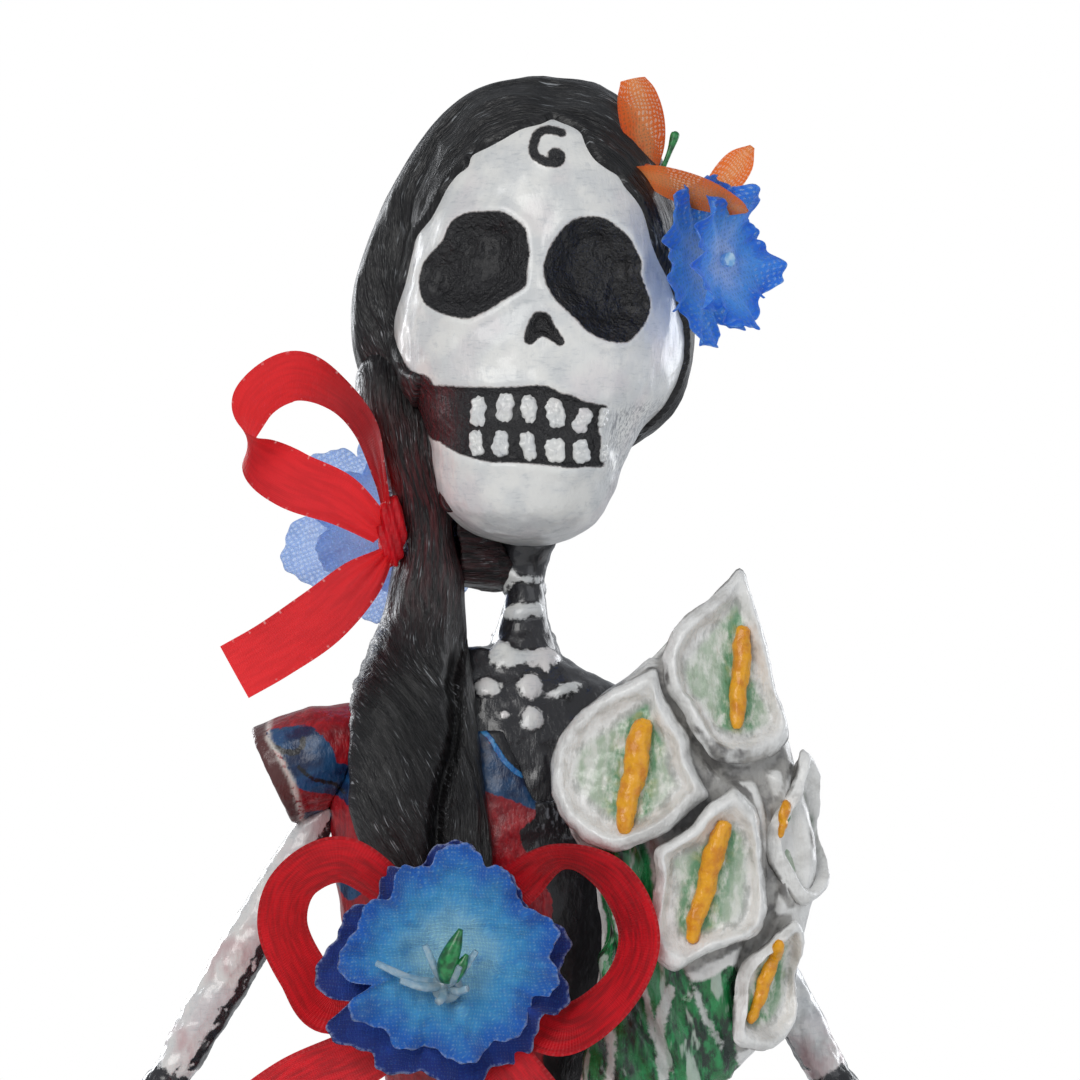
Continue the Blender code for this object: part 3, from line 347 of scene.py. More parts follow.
def loft(rings, around, steps, squareness=2.0):
    """A closed bmesh through rings of (centre, half axis, other half axis), smoothed between them."""
    around = int(around * FINE) // 4 * 4
    rings = spline(np.array(rings, dtype=float).reshape(len(rings), 9), max(1, round(steps * FINE)))
    levels = len(rings) + 1
    bm = bmesh.new()
    bmesh.ops.create_uvsphere(bm, u_segments=around, v_segments=levels, radius=1)
    ball = unit_places(bm)
    level = np.rint(np.arccos(np.clip(ball[:, 2], -1, 1)) / math.pi * levels).astype(int)
    turn = np.arctan2(ball[:, 1], ball[:, 0])
    cos, sin = np.cos(turn), np.sin(turn)
    cos = np.sign(cos) * np.abs(cos) ** (2 / squareness)
    sin = np.sign(sin) * np.abs(sin) ** (2 / squareness)
    pole = (level == 0) | (level == levels)
    ring = rings[np.clip(level - 1, 0, len(rings) - 1)]
    cos, sin = np.where(pole, 0, cos)[:, None], np.where(pole, 0, sin)[:, None]
    places = ring[:, :3] + cos * ring[:, 3:6] + sin * ring[:, 6:]
    put(bm, places)
    bmesh.ops.recalc_face_normals(bm, faces=bm.faces)
    if bm.calc_volume(signed=True) < 0:
        bmesh.ops.reverse_faces(bm, faces=bm.faces)
    return bm


def level_rings(levels, on_head=False):
    """Rings for a form given as (z, left, right, front, back)."""
    rings = []
    for z, left, right, front, back in levels:
        centre = np.array(((left + right) / 2, (front + back) / 2, z))
        across = np.array(((right - left) / 2, 0, 0))
        deep = np.array((0, (back - front) / 2, 0))
        if on_head:
            centre, across, deep = HEAD + HEAD_TURN @ centre, HEAD_TURN @ across, HEAD_TURN @ deep
        rings.append((centre, across, deep))
    return rings


def tube(rows, around, steps, flat=1.0):
    """A closed bmesh along rows of (x, y, z, radius); flat makes it wider than it is deep."""
    rows = spline(rows, max(1, round(steps * FINE)))
    rings = []
    for i, row in enumerate(rows):
        ahead = rows[min(i + 1, len(rows) - 1), :3] - rows[max(i - 1, 0), :3]
        ahead /= np.linalg.norm(ahead)
        across = np.cross(ahead, (0, 1, 0))
        across /= np.linalg.norm(across)
        rings.append((row[:3], across * row[3] * flat, np.cross(ahead, across) * row[3] / flat))
    return loft(rings, around / FINE if FINE < 1 and around < 16 else around, 1)


def moulded(nodes, voxel, smooth, grow=0.2):
    """Copies CAD nodes and melts them into one soft-edged form, as paste over a frame."""
    bm = bmesh.new()
    for name in nodes:
        bm.from_mesh(bpy.data.objects[name].data)
    bmesh.ops.remove_doubles(bm, verts=bm.verts, dist=0.01 * MM)
    bmesh.ops.recalc_face_normals(bm, faces=bm.faces)
    bm.normal_update()
    grown = [v.co + v.normal * grow * MM for v in bm.verts]
    for v, place in zip(bm.verts, grown):
        v.co = place
    mesh = bpy.data.meshes.new("clay")
    bm.to_mesh(mesh)
    clay = bpy.data.objects.new("clay", mesh)
    bpy.context.scene.collection.objects.link(clay)
    remesh = clay.modifiers.new("Melt", "REMESH")
    remesh.mode = "VOXEL"
    remesh.voxel_size = voxel * MM / FINE
    soften = clay.modifiers.new("Soften", "SMOOTH")
    soften.iterations = smooth
    bpy.context.view_layer.update()
    made = bpy.data.meshes.new_from_object(clay.evaluated_get(bpy.context.evaluated_depsgraph_get()))
    bpy.data.objects.remove(clay)
    bm.clear()
    bm.from_mesh(made)
    return bm


def knead(piece, pitch, depth, seed=0.0):
    """Gives a piece the soft unevenness of paste worked by hand."""
    places = points(piece)
    move_to(piece, places + normals(piece) * (lumps(places, pitch, seed) * depth)[:, None])


# ---------------------------------------------------------------- paints

def varnish(finish, where, height, depth, rough=0.3):
    """The gloss coat's own small waves over a paint's relief."""
    wave = finish.grain(where, 1.6, 2)
    spots = finish.grain(where, 0.45, 2)
    sheen = finish.bump(wave * 0.7 + spots * 0.3, 0.10)
    return finish.bump(height, depth, sheen), (finish.grain(where, 3.0, 2) * 0.16) + (rough - 0.08)


def varnished(finish, where, colour, height, depth, rough):
    normal, rough = varnish(finish, where, height, depth, rough)
    return finish.wear(Base_Color=colour, Roughness=rough, Normal=normal)


def bone_colour(finish, where):
    """White acrylic in uneven brushed coats, with grey-blue and pink showing."""
    brushed = finish.grain(where, 1.2, 4, 0.6, (1.0, 1.0, 0.28))
    cloud = finish.grain(where, 7.0, 3, 0.6)
    tint = finish.grain(where, 11.0, 2)
    colour = finish.blend(cloud.rise(0.38, 0.62) * 0.7, ink(233, 232, 228), ink(208, 210, 211))
    colour = colour.under((tint.rise(0.50, 0.68) * 0.4, ink(222, 210, 212)))
    streak = finish.grain(where, 0.50, 4, 0.65, (0.25, 0.25, 1.0))
    colour = colour.under(((streak.rise(0.52, 0.68) * cloud.rise(0.34, 0.58)) * 0.45, ink(178, 182, 185)))
    patchy = finish.grain(where, 2.4, 4, 0.7)
    colour = colour.under((patchy.rise(0.56, 0.70) * 0.4, ink(186, 189, 192)))
    return colour, brushed


def face_finish():
    """The skull: white, with black hollows bounded by a thin brown line, and grey painted shade under the cheekbone
    and the jaw.
    """
    finish = Finish("skull paint", Coat_Weight=0.35, Coat_Roughness=0.12)
    where = finish.place()
    colour, brushed = bone_colour(finish, where)
    wobble = (finish.grain(where, 0.7, 3, 0.6) - 0.5) * 0.55
    dark = finish.mark("dark") + wobble
    # painted shade: grey brush strokes where shade falls under the cheekbone and on the underside of the jaw
    jaw_shade = finish.mark("jaw_shade")
    stroke = finish.grain(where, 0.42, 3, 0.7, (1.0, 1.0, 0.16))
    colour = colour.under((jaw_shade * stroke.rise(0.46, 0.60) * 0.75, ink(120, 122, 128)),
                          ((dark.rise(0.26, 0.10) - dark.rise(0.06, -0.06)).most(0.0) * 0.45, ink(96, 60, 52)))
    maroon = finish.blend(finish.mark("maroon") * stroke.rise(0.40, 0.62), BLACK, ink(98, 26, 32))
    black = dark.rise(0.10, -0.10)
    colour = colour.under((black, maroon))
    paste = finish.grain(where, 0.5, 3, 0.65)
    relief = brushed * (1 - black) + (paste * 3.0 + finish.grain(where, 1.3, 3) * 5.5) * black - black * 0.9
    normal, rough = varnish(finish, where, relief, 0.16, 0.34)
    return finish.wear(Base_Color=colour, Roughness=rough - black * 0.06, Coat_Weight=0.35 - black * 0.24,
                       Normal=normal)


def bone_finish(name="bone paint", dark_mark=None):
    """White paint over bones, with black left along the inner side."""
    finish = Finish(name, Coat_Weight=0.6, Coat_Roughness=0.10)
    where = finish.place()
    colour, brushed = bone_colour(finish, where)
    blush = finish.grain(where, 4.5, 3, 0.6, (1, 1, 0.5))
    colour = colour.under((finish.mark("blush") * blush.rise(0.35, 0.6), ink(196, 158, 160)))
    if dark_mark:
        edge = finish.mark(dark_mark) + (finish.grain(where, 1.3, 3, 0.6) - 0.5) * 2.2
        black = edge.rise(0.25, -0.25)
        colour = colour.under((black, ink(38, 37, 40)))
        brushed = brushed - black * 0.8
    return varnished(finish, where, colour, brushed, 0.22, 0.26)


def combed_finish():
    """Black paste combed into strands, under gloss varnish, with painted highlight streaks along the strands."""
    finish = Finish("combed hair", Coat_Weight=0.12, Coat_Roughness=0.25, Specular_IOR_Level=0.42)
    where = finish.place()
    comb = finish.mark("comb", "Vector")
    strand = finish.grain(comb, 0.62, 3, 0.6, (1, 0.7, 0.7))
    hair = finish.grain(comb, 0.20, 2, 0.65, (1, 0.3, 0.3))
    # painted highlight: this grain gives fine light-grey streaks along the strands, standing in for the varnish's
    # glints
    painted_glint = finish.grain(comb, 0.26, 2, 0.6, (1, 0.42, 0.42))
    colour = finish.blend(hair.rise(0.45, 0.75) * 0.4, ink(14, 13, 14), ink(62, 60, 62))
    patch = finish.grain(where, 5.0, 2)
    # streak is where the painted highlight shows, in brighter patches
    streak = painted_glint.rise(0.60, 0.70) * patch.rise(0.44, 0.62)
    colour = colour.under((streak * 0.6, ink(186, 190, 194)),
                          (finish.mark("maroon") * strand.rise(0.38, 0.66), ink(92, 24, 30)))
    height = strand * 1.4 + hair * 0.6
    normal = finish.bump(height, 0.62)
    rough = finish.grain(where, 2.2, 2) * 0.22 + 0.24
    return finish.wear(Base_Color=colour, Roughness=rough, Normal=normal)


def black_paste():
    """Plain black paint over rough paste, with white dabs where they were laid."""
    finish = Finish("black paste", Coat_Weight=0.3, Coat_Roughness=0.15)
    where = finish.place()
    rough_paste = finish.grain(where, 0.9, 4, 0.6)
    brush = finish.grain(where, 0.5, 3, 0.6, (1, 1, 0.3))
    colour = finish.blend(brush.rise(0.5, 0.8) * 0.5, ink(28, 27, 29), ink(74, 73, 76))
    return varnished(finish, where, colour, rough_paste, 0.35, 0.3)


def dress_finish():
    """Blouse and skirt: red with blue patches, black brush lines, worn edges, and painted shade inside the sleeves.
    """
    finish = Finish("dress paint", Coat_Weight=0.15, Coat_Roughness=0.15)
    where = finish.place()
    brush = finish.grain(where, 0.8, 4, 0.6, (1, 1, 0.45))
    cloud = finish.grain(where, 5.0, 3, 0.6)
    wobble = (finish.grain(where, 0.9, 3, 0.6) - 0.5) * 1.0
    red = finish.blend(brush.rise(0.35, 0.7), ink(140, 12, 26), ink(180, 26, 36))
    red = red.under((cloud.rise(0.5, 0.72) * 0.5, ink(100, 14, 26)))
    blue = finish.blend(cloud.rise(0.38, 0.66), ink(16, 36, 72), ink(28, 76, 120))
    blue = blue.under((brush.rise(0.56, 0.78) * 0.35, ink(110, 140, 168)))
    bright = finish.blend(brush.rise(0.4, 0.7), ink(22, 100, 170), ink(64, 150, 208))
    black = finish.blend(brush.rise(0.5, 0.8) * 0.4, ink(26, 25, 28), ink(70, 70, 76))
    blue_area = (finish.mark("blue") + wobble).rise(0.14, -0.14)
    black_area = (finish.mark("black") + wobble).rise(0.14, -0.14)
    bright_area = (finish.mark("bright") + wobble * 0.5).rise(0.12, -0.12)
    dry = finish.mark("dry") * brush.rise(0.52, 0.62)
    colour = finish.blend(blue_area, red, blue)
    colour = colour.under((black_area, black), (bright_area, bright), (dry, ink(168, 172, 180)),
                          # painted shade: dark brown-red on the inside of each sleeve, past its opening
                          (finish.mark("inner").rise(0.1, -0.1), ink(92, 54, 52)),
                          (finish.mark("raw") * finish.grain(where, 1.0, 2).rise(0.3, 0.5), ink(226, 222, 214)))
    return varnished(finish, where, colour, brush + bright_area * 0.6, 0.2, 0.3)


def lily_finish():
    """White lilies with watery green throats, grey painted shade in the creases, round and under each lily, and green
    leaves.
    """
    finish = Finish("lily paint", Coat_Weight=0.45, Coat_Roughness=0.12)
    where = finish.place()
    brush = finish.grain(where, 0.8, 4, 0.62, (1, 1, 0.3))
    cloud = finish.grain(where, 4.5, 3, 0.6)
    wash = finish.grain(where, 2.0, 4, 0.62, (1, 1, 0.45))
    wobble = (finish.grain(where, 1.1, 3, 0.6) - 0.5) * 1.3
    white = finish.blend(cloud.rise(0.44, 0.70) * 0.9, ink(234, 233, 230), ink(200, 198, 194))
    white = white.under((brush.rise(0.58, 0.78) * 0.5, ink(240, 241, 240)))
    throat = finish.mark("throat") + wobble
    near = finish.mark("near_spadix") + wobble * 1.5
    inner = finish.blend(wash.rise(0.36, 0.62), ink(214, 217, 208), ink(168, 184, 162))
    green = finish.blend(wash.rise(0.38, 0.58), ink(134, 176, 132), ink(66, 134, 86))
    green = green.under((cloud.rise(0.55, 0.7) * 0.6, ink(176, 176, 104)))
    inner = inner.under((near.rise(3.2, 0.6) * wash.rise(0.32, 0.54) * 0.85, green))
    colour = finish.blend(throat.rise(0.5, -1.4), white, inner)
    ring = (throat.rise(1.1, 0.2) - throat.rise(-0.2, -1.1)).most(0.0)
    colour = colour.under((ring * wash.rise(0.42, 0.6) * 0.55, ink(128, 132, 124)))
    # painted shade: grey laid where the crease mark says shade falls, in the bunch's creases, between the lilies and
    # under their rims
    crease = finish.mark("crease") + wobble * 0.35
    dark = finish.blend(cloud.rise(0.40, 0.58), ink(70, 66, 63), ink(158, 155, 150))
    colour = colour.under((crease.rise(0.15, 0.9) * 0.86, dark))
    leaf = finish.mark("leaf") + wobble
    stroke = finish.grain(where, 2.6, 4, 0.62, (1, 1, 0.22))
    pale_stroke = finish.grain(where, 3.2, 3, 0.6, (1.0, 1.0, 0.20))
    leaf_green = finish.blend(stroke.rise(0.40, 0.58), ink(8, 36, 24), ink(18, 116, 58))
    leaf_green = leaf_green.under((wash.rise(0.50, 0.66) * 0.7, ink(36, 150, 84)),
                                  (pale_stroke.rise(0.56, 0.64) * 0.85, ink(176, 190, 178)))
    colour = colour.under((leaf.rise(0.3, -0.5), leaf_green))
    vein = finish.mark("vein") + wobble * 1.2
    colour = colour.under((vein.rise(0.35, -0.35) * 0.9, ink(200, 202, 198)))
    backing = finish.mark("backing")
    colour = colour.under((backing * brush.rise(0.2, 0.5), ink(30, 30, 32)))
    relief = brush + cloud * 0.8
    return varnished(finish, where, colour, relief, 0.3, 0.28)


def spadix_finish():
    finish = Finish("ochre paint", Coat_Weight=0.35, Coat_Roughness=0.15)
    where = finish.place()
    cloud = finish.grain(where, 2.2, 3)
    colour = finish.blend(cloud.rise(0.4, 0.66), ink(238, 166, 6), ink(216, 134, 4))
    colour = colour.under((finish.grain(where, 0.7, 2).rise(0.6, 0.75) * 0.5, ink(240, 176, 60)))
    return varnished(finish, where, colour, finish.grain(where, 0.9, 3), 0.3, 0.32)


def satin_finish(name, front, deep, through, glints=0.0):
    """Woven satin: fine ribs across, a dense selvedge, and light through where it is single, with painted sheen
    streaks along it and painted glints on the selvedge as strong as glints asks.
    """
    finish = Finish(name, Sheen_Weight=0.08, Sheen_Roughness=0.35, Specular_IOR_Level=0.4)
    cut = finish.node("UVMap", {"uv_map": "cloth"})
    along, across, _ = finish.apart(cut)
    rib = (along * (2 * math.pi / 0.42)).sine()
    thread = (across * (2 * math.pi / 0.30)).sine()
    uneven = finish.grain(cut, 1.8, 3, 0.6, (0.25, 1.6, 1))
    sheen_streak = finish.grain(cut, 0.55, 2, 0.6, (0.14, 1.0, 1))
    edge = across.size().rise(RIBBON / 2 - 0.75, RIBBON / 2 - 0.45)
    dots = ((along * (2 * math.pi / 3.4)).sine()).rise(0.90, 0.99) * edge
    weave = ((along * (2 * math.pi / 0.95)).sine()).rise(0.2, 0.9) * edge
    colour = finish.blend(uneven.rise(0.35, 0.68), front, deep)
    # painted sheen: lighter red streaks along the ribbon; painted glints: pale dots on the selvedge, as strong as
    # glints
    colour = colour.under((sheen_streak.rise(0.5, 0.72) * 0.18, ink(232, 44, 58)),
                          ((rib * 0.5 + 0.5) * 0.12, deep), (edge * 0.3, deep),
                          (weave * 0.10, ink(246, 150, 150)),
                          (dots * uneven.rise(0.42, 0.58) * glints, ink(255, 236, 232)))
    height = rib * 0.25 + thread * 0.25 + edge * 1.2 + uneven * 0.6
    normal = finish.bump(height, 0.07)
    rough = uneven * 0.14 + 0.36 + edge * 0.15
    finish.wear(Base_Color=colour, Roughness=rough, Normal=normal)
    return finish.glow_through(through, ink(255, 62, 62))


def cloth_finish(name, heart, body, rim, through, glow, pitch=0.6, open_weave=0.0):
    """Stiffened plain-weave cloth, dyed from a pale heart to a deep rim, with frayed edges."""
    finish = Finish(name, Sheen_Weight=0.2, Sheen_Roughness=0.5, Roughness=0.82)
    cut = finish.node("UVMap", {"uv_map": "cloth"})
    along, across, _ = finish.apart(cut)
    drift = (finish.grain(cut, 5.0, 2) - 0.5) * 3.6
    warp = ((along + drift) * (2 * math.pi / pitch)).sine()
    weft = ((across + drift * 0.6) * (2 * math.pi / (pitch * 1.06))).sine()
    cell = (warp * 0.5 + 0.5) * (weft * 0.5 + 0.5)
    out = finish.mark("out")
    stain = finish.grain(cut, 3.2, 4, 0.62)
    fleck = finish.grain(cut, 0.8, 3, 0.6)
    reach = out + (stain - 0.5) * 0.5
    colour = finish.blend(reach.rise(0.10, 0.62), heart, body)
    colour = colour.under((reach.rise(0.56, 0.98), rim), ((stain.rise(0.54, 0.74)) * 0.4, rim),
                          ((fleck.rise(0.5, 0.72)) * 0.22, heart),
                          (cell.rise(0.45, 0.95) * fleck.rise(0.3, 0.6) * 0.30, heart),
                          ((1 - cell.rise(0.02, 0.30)) * 0.26, rim))
    fray = out.rise(0.965, 1.0) * fleck.rise(0.42, 0.56)
    colour = colour.under((fray * 0.5, ink(190, 200, 236)))
    height = (warp.size() * 0.5) + (weft.size() * 0.5) + cell
    finish.wear(Base_Color=colour, Normal=finish.bump(height, 0.10))
    if open_weave:
        finish.wear(Alpha=1 - cell.rise(0.26, 0.5) * open_weave)
    return finish.glow_through(through, glow)


def plastic_finish(name, colour, tip, rough=0.25, **fixed):
    finish = Finish(name, Roughness=rough, **fixed)
    where = finish.place()
    cloud = finish.grain(where, 1.4, 2)
    made = finish.blend(cloud.rise(0.35, 0.7), colour, tip)
    return finish.wear(Base_Color=made, Normal=finish.bump(cloud, 0.12))


def skirt_finish():
    """Navy skirt with a red flounce, painted in long strokes, with rows of white and blue dabs."""
    finish = Finish("skirt paint", Coat_Weight=0.35, Coat_Roughness=0.15)
    where = finish.place()
    brush = finish.grain(where, 1.6, 4, 0.6, (1, 1, 0.12))
    cloud = finish.grain(where, 12.0, 3, 0.6)
    navy = finish.blend(brush.rise(0.35, 0.7), ink(20, 38, 76), ink(36, 72, 124))
    navy = navy.under((cloud.rise(0.5, 0.72) * 0.5, ink(16, 22, 40)))
    red = finish.blend(brush.rise(0.35, 0.7), ink(146, 22, 34), ink(190, 40, 48))
    red = red.under((cloud.rise(0.5, 0.72) * 0.4, ink(104, 18, 28)))
    wobble = (finish.grain(where, 1.8, 3, 0.6) - 0.5) * 1.6
    colour = finish.blend((finish.mark("red") + wobble).rise(0.2, -0.2), navy, red)
    colour = colour.under(((finish.mark("black") + wobble).rise(0.2, -0.2), ink(28, 27, 30)),
                          ((finish.mark("bright") + wobble).rise(0.2, -0.2), ink(48, 128, 196)),
                          ((finish.mark("white") + wobble * 0.6).rise(0.2, -0.2), ink(222, 222, 218)))
    return varnished(finish, where, colour, brush, 0.3, 0.3)


def card_finish():
    finish = Finish("painted card")
    where = finish.place()
    fibre = finish.grain(where, 0.5, 4, 0.6)
    scuff = finish.grain(where, 3.0, 4, 0.65)
    colour = finish.blend(scuff.rise(0.55, 0.75) * 0.4, ink(30, 28, 29), ink(86, 80, 76))
    return finish.wear(Base_Color=colour, Roughness=fibre * 0.2 + 0.45, Normal=finish.bump(fibre, 0.12))


def wood_finish():
    finish = Finish("dowel wood")
    where = finish.place()
    grain = finish.grain(where, 1.0, 4, 0.6, (1, 1, 0.05))
    colour = finish.blend(grain.rise(0.35, 0.7), ink(206, 172, 126), ink(170, 130, 86))
    return finish.wear(Base_Color=colour, Roughness=grain * 0.2 + 0.5, Normal=finish.bump(grain, 0.1))


def wire_finish():
    finish = Finish("drawn wire", Metallic=1.0)
    where = finish.place()
    line = finish.grain(where, 0.3, 3, 0.6, (1, 1, 0.05))
    colour = finish.blend(line, ink(150, 150, 152), ink(196, 196, 198))
    return finish.wear(Base_Color=colour, Roughness=line * 0.2 + 0.25, Normal=finish.bump(line, 0.03))


# ---------------------------------------------------------------- skull and face

# up, to the side, front and back, as shares of the head's size
SKULL_LEVELS = ((0.97, 0.36, 0.36, 0.50), (0.88, 0.60, 0.62, 0.72), (0.72, 0.78, 0.80, 0.86),
                (0.50, 0.91, 0.92, 0.95), (0.26, 0.97, 0.97, 1.00), (0.05, 1.00, 0.98, 1.00),
                (-0.12, 1.00, 1.00, 0.92), (-0.28, 0.93, 1.00, 0.76), (-0.44, 0.77, 0.99, 0.52),
                (-0.60, 0.66, 0.97, 0.36), (-0.76, 0.60, 0.93, 0.28), (-0.90, 0.50, 0.84, 0.22),
                (-0.985, 0.30, 0.66, 0.10), (-1.01, 0.12, 0.44, -0.10))
RIGHT_SOCKET = ((-7.2, 176.3), (-5.2, 176.4), (-1.7, 176.3), (0.5, 175.2), (2.6, 173.3), (2.9, 171.6),
    (3.3, 169), (2.9, 166.5), (2.8, 163.9), (1.7, 162.7), (-0.9, 161.3), (-3.4, 159.6),
    (-6.4, 158.2), (-8.1, 158), (-10.3, 158.5), (-12.6, 159.4), (-14.6, 160.8), (-15.5, 163),
    (-15.7, 165.3), (-15.1, 167.8), (-13.8, 169.6), (-11.7, 171.6), (-10.7, 173.7),
    (-9.5, 175.2))
LEFT_SOCKET = ((12, 175.2), (13.8, 175.4), (16.3, 175.1), (18.4, 173.7), (20.3, 172), (21.8, 169.6),
    (22.7, 167.8), (22.5, 165.6), (23.6, 163), (24.3, 160.8), (23.9, 158.7), (22.9, 157),
    (21.8, 155.6), (20.3, 154.1), (18.1, 153.9), (15.5, 154.6), (12.9, 156.1), (11.2, 157.9),
    (8.6, 160.3), (6.9, 162.5), (6, 164.7), (5.8, 166.8), (6.4, 169), (7.4, 171.1),
    (9.1, 173.3), (10.7, 174.7))
NOSE = ((4.5, 158.9), (6.5, 158.7), (7.4, 157), (8.6, 155.1), (9.3, 153.9), (8.6, 153.2),
    (7.4, 153.9), (5.5, 154.9), (4.6, 154.2), (3.4, 153.4), (2.6, 153.9), (2.6, 155.3),
    (3.4, 157.5))
CURL = ((8.9, 190.4), (6.9, 190.9), (5.2, 190.5), (4.3, 189.2), (4, 187.1), (4.6, 185.9),
    (6.5, 184.9), (8.3, 185), (8.8, 186.2), (7.9, 186.9), (7.2, 186.4))
MOUTH = ((-12.7, 146.5), (-8.6, 146.2), (-1.7, 146), (2.6, 146.2), (5.2, 146.3), (6.9, 146),
    (8.6, 145.1), (10.7, 144.6), (12.9, 143.6), (15.5, 143.1), (16.7, 142.7), (15.5, 140.7),
    (15.1, 138.9), (15.5, 137.2), (15.3, 134.6), (16, 132.7), (12.9, 132.6), (10.3, 132.4),
    (7.7, 132.7), (3.4, 133.1), (0, 133.3), (-3.4, 133.4), (-6, 134), (-8.6, 134.8),
    (-10.8, 136), (-12, 136.9), (-13.8, 137.9), (-16.3, 141.5), (-15.5, 145.8))
# outline of the painted shade in the hollow under the cheekbone, seen from the front
CHEEK_SHADE = ((31, 147.9), (26.1, 145), (19.3, 143.2), (16.5, 141), (16, 135.5), (16.2, 130),
    (17.5, 125.2), (21, 129.3), (24.1, 135.2), (28.6, 143.8), (32.7, 146.7))
FACE = ((7.2, 193.5), (5.2, 192.6), (1.7, 191.6), (-1.7, 189.7), (-4, 188.5), (-6.9, 187.1),
    (-7.7, 185), (-9.5, 183.7), (-11.2, 181.6), (-12.6, 179), (-14.1, 176.3), (-15.5, 174.7),
    (-16.9, 173), (-17.5, 170.8), (-18.1, 168.2), (-18.9, 164.7), (-19.8, 162.2),
    (-20.6, 159.9), (-21.2, 157), (-20.6, 154.4), (-19.8, 152.4), (-18.4, 151),
    (-16.9, 149.3), (-14.1, 148.2), (-13.1, 146.2), (-13.8, 142.4), (-14.1, 137),
    (-13.2, 132.1), (-11.9, 126.9), (-6.9, 119.2), (-1.7, 114), (15.5, 114), (24.1, 126.9),
    (33.5, 144.1), (32.5, 154.4), (31.3, 157), (30.1, 159.2), (29.4, 161.3), (28.4, 163.9),
    (27.5, 166.1), (26.1, 168.7), (24.9, 171.6), (24.1, 174.7), (23.2, 177.3), (21.8, 179.4),
    (20.1, 181.4), (18.9, 183.3), (16.9, 184.5), (14.8, 186.2), (13.4, 188.6), (12.6, 190.7),
    (11.2, 191.9), (8.9, 192.9))
# (x, z, half width, half height, lean in degrees) of each tooth
TEETH = ((-5.33, 142.04, 1.38, 2.64, 0), (-0.86, 142.55, 1.55, 2.55, 3), (3.27, 142.38, 1.29, 2.38, -2),
         (7.74, 141.69, 1.55, 2.55, -14), (12.38, 140.49, 1.46, 2.29, 26), (16, 141, 0.77, 1.76, 10),
         (-5.68, 136.53, 1.38, 2.29, -2), (-1.55, 136.53, 1.46, 2.2, 2), (3.1, 136.02, 1.2, 2.55, -10),
         (7.74, 135.33, 1.63, 2.2, 2), (12.21, 135.16, 1.46, 2.02, -9), (16, 134.98, 0.77, 1.58, 0))


def on_surface(tree, x, z, start=-80.0):
    """The nearest point to the front of a surface at x and z, and the way it faces."""
    hit, normal, _, _ = tree.ray_cast(Vector((x, start, z)) * MM + WAIST, Vector((0, 1, 0)))
    if hit is None:
        return None, None
    return np.array((hit - WAIST) / MM), np.array(normal)


def surface_of(piece):
    bm = bmesh.new()
    bm.from_mesh(piece.data)
    tree = BVHTree.FromBMesh(bm)
    bm.free()
    return tree


def make_skull():
    levels = [(HEAD_HALF_HEIGHT * up, -HEAD_HALF_WIDTH * wide, HEAD_HALF_WIDTH * wide, -HEAD_FRONT * front,
               HEAD_BACK * back) for up, wide, front, back in SKULL_LEVELS]
    skull = new_piece("painted skull", loft(level_rings(levels, on_head=True), 320, 13, 2.25), "skull",
                      slot="bone_paper", finish=face_finish())
    places, out = points(skull), normals(skull)
    x, y, z = places.T
    front = y < 6
    sockets = outline_distance(x, z, RIGHT_SOCKET, LEFT_SOCKET)
    nose = outline_distance(x, z, NOSE)
    mouth = outline_distance(x, z, MOUTH)
    curl = stroke_distance(x, z, (CURL, 0.72))
    face = outline_distance(x, z, FACE)
    rough = lumps(places, 2.6, 1)
    push = 3.6 * ease(-sockets, -0.1, 5.0) + (0.5 - 0.55 * rough) * ease(-sockets, 0, 1.0)
    push += 1.5 * ease(-nose, 0, 1.4) + (0.9 + 0.25 * rough) * ease(-mouth, -0.2, 1.0)
    push -= 0.45 * np.exp(-((sockets - 0.7) / 1.1) ** 2) * (sockets > 0) + 0.35 * ease(-curl, -0.2, 0.4)
    push -= 0.30 * np.exp(-((mouth - 1.0) / 1.0) ** 2) * (mouth > 0)
    places[:, 1] += np.where(front, push, 0)
    places += out * (lumps(places, 10, 2) * 0.40 + lumps(places, 3.0, 3, 2) * 0.10)[:, None]
    move_to(skull, places)
    dark = np.minimum.reduce([sockets, nose, mouth, curl, 0.2 - face])
    store(skull, "dark", np.where(front, dark, -1))
    # painted shade: the hollow under the cheekbone and the underside of the jaw get grey strokes in the face paint
    cheek_shade = ease(-outline_distance(x, z, CHEEK_SHADE), -0.6, 1.6)
    chin_shade = ease(z, 119.6, 117.4) * ease(x, -12, -4)
    store(skull, "jaw_shade", np.where(front, np.maximum(cheek_shade, chin_shade), 0))
    store(skull, "maroon", np.where(front, ease(x, -7.5, -12.5) * (z < 149) * 0.9, 0))
    return skull


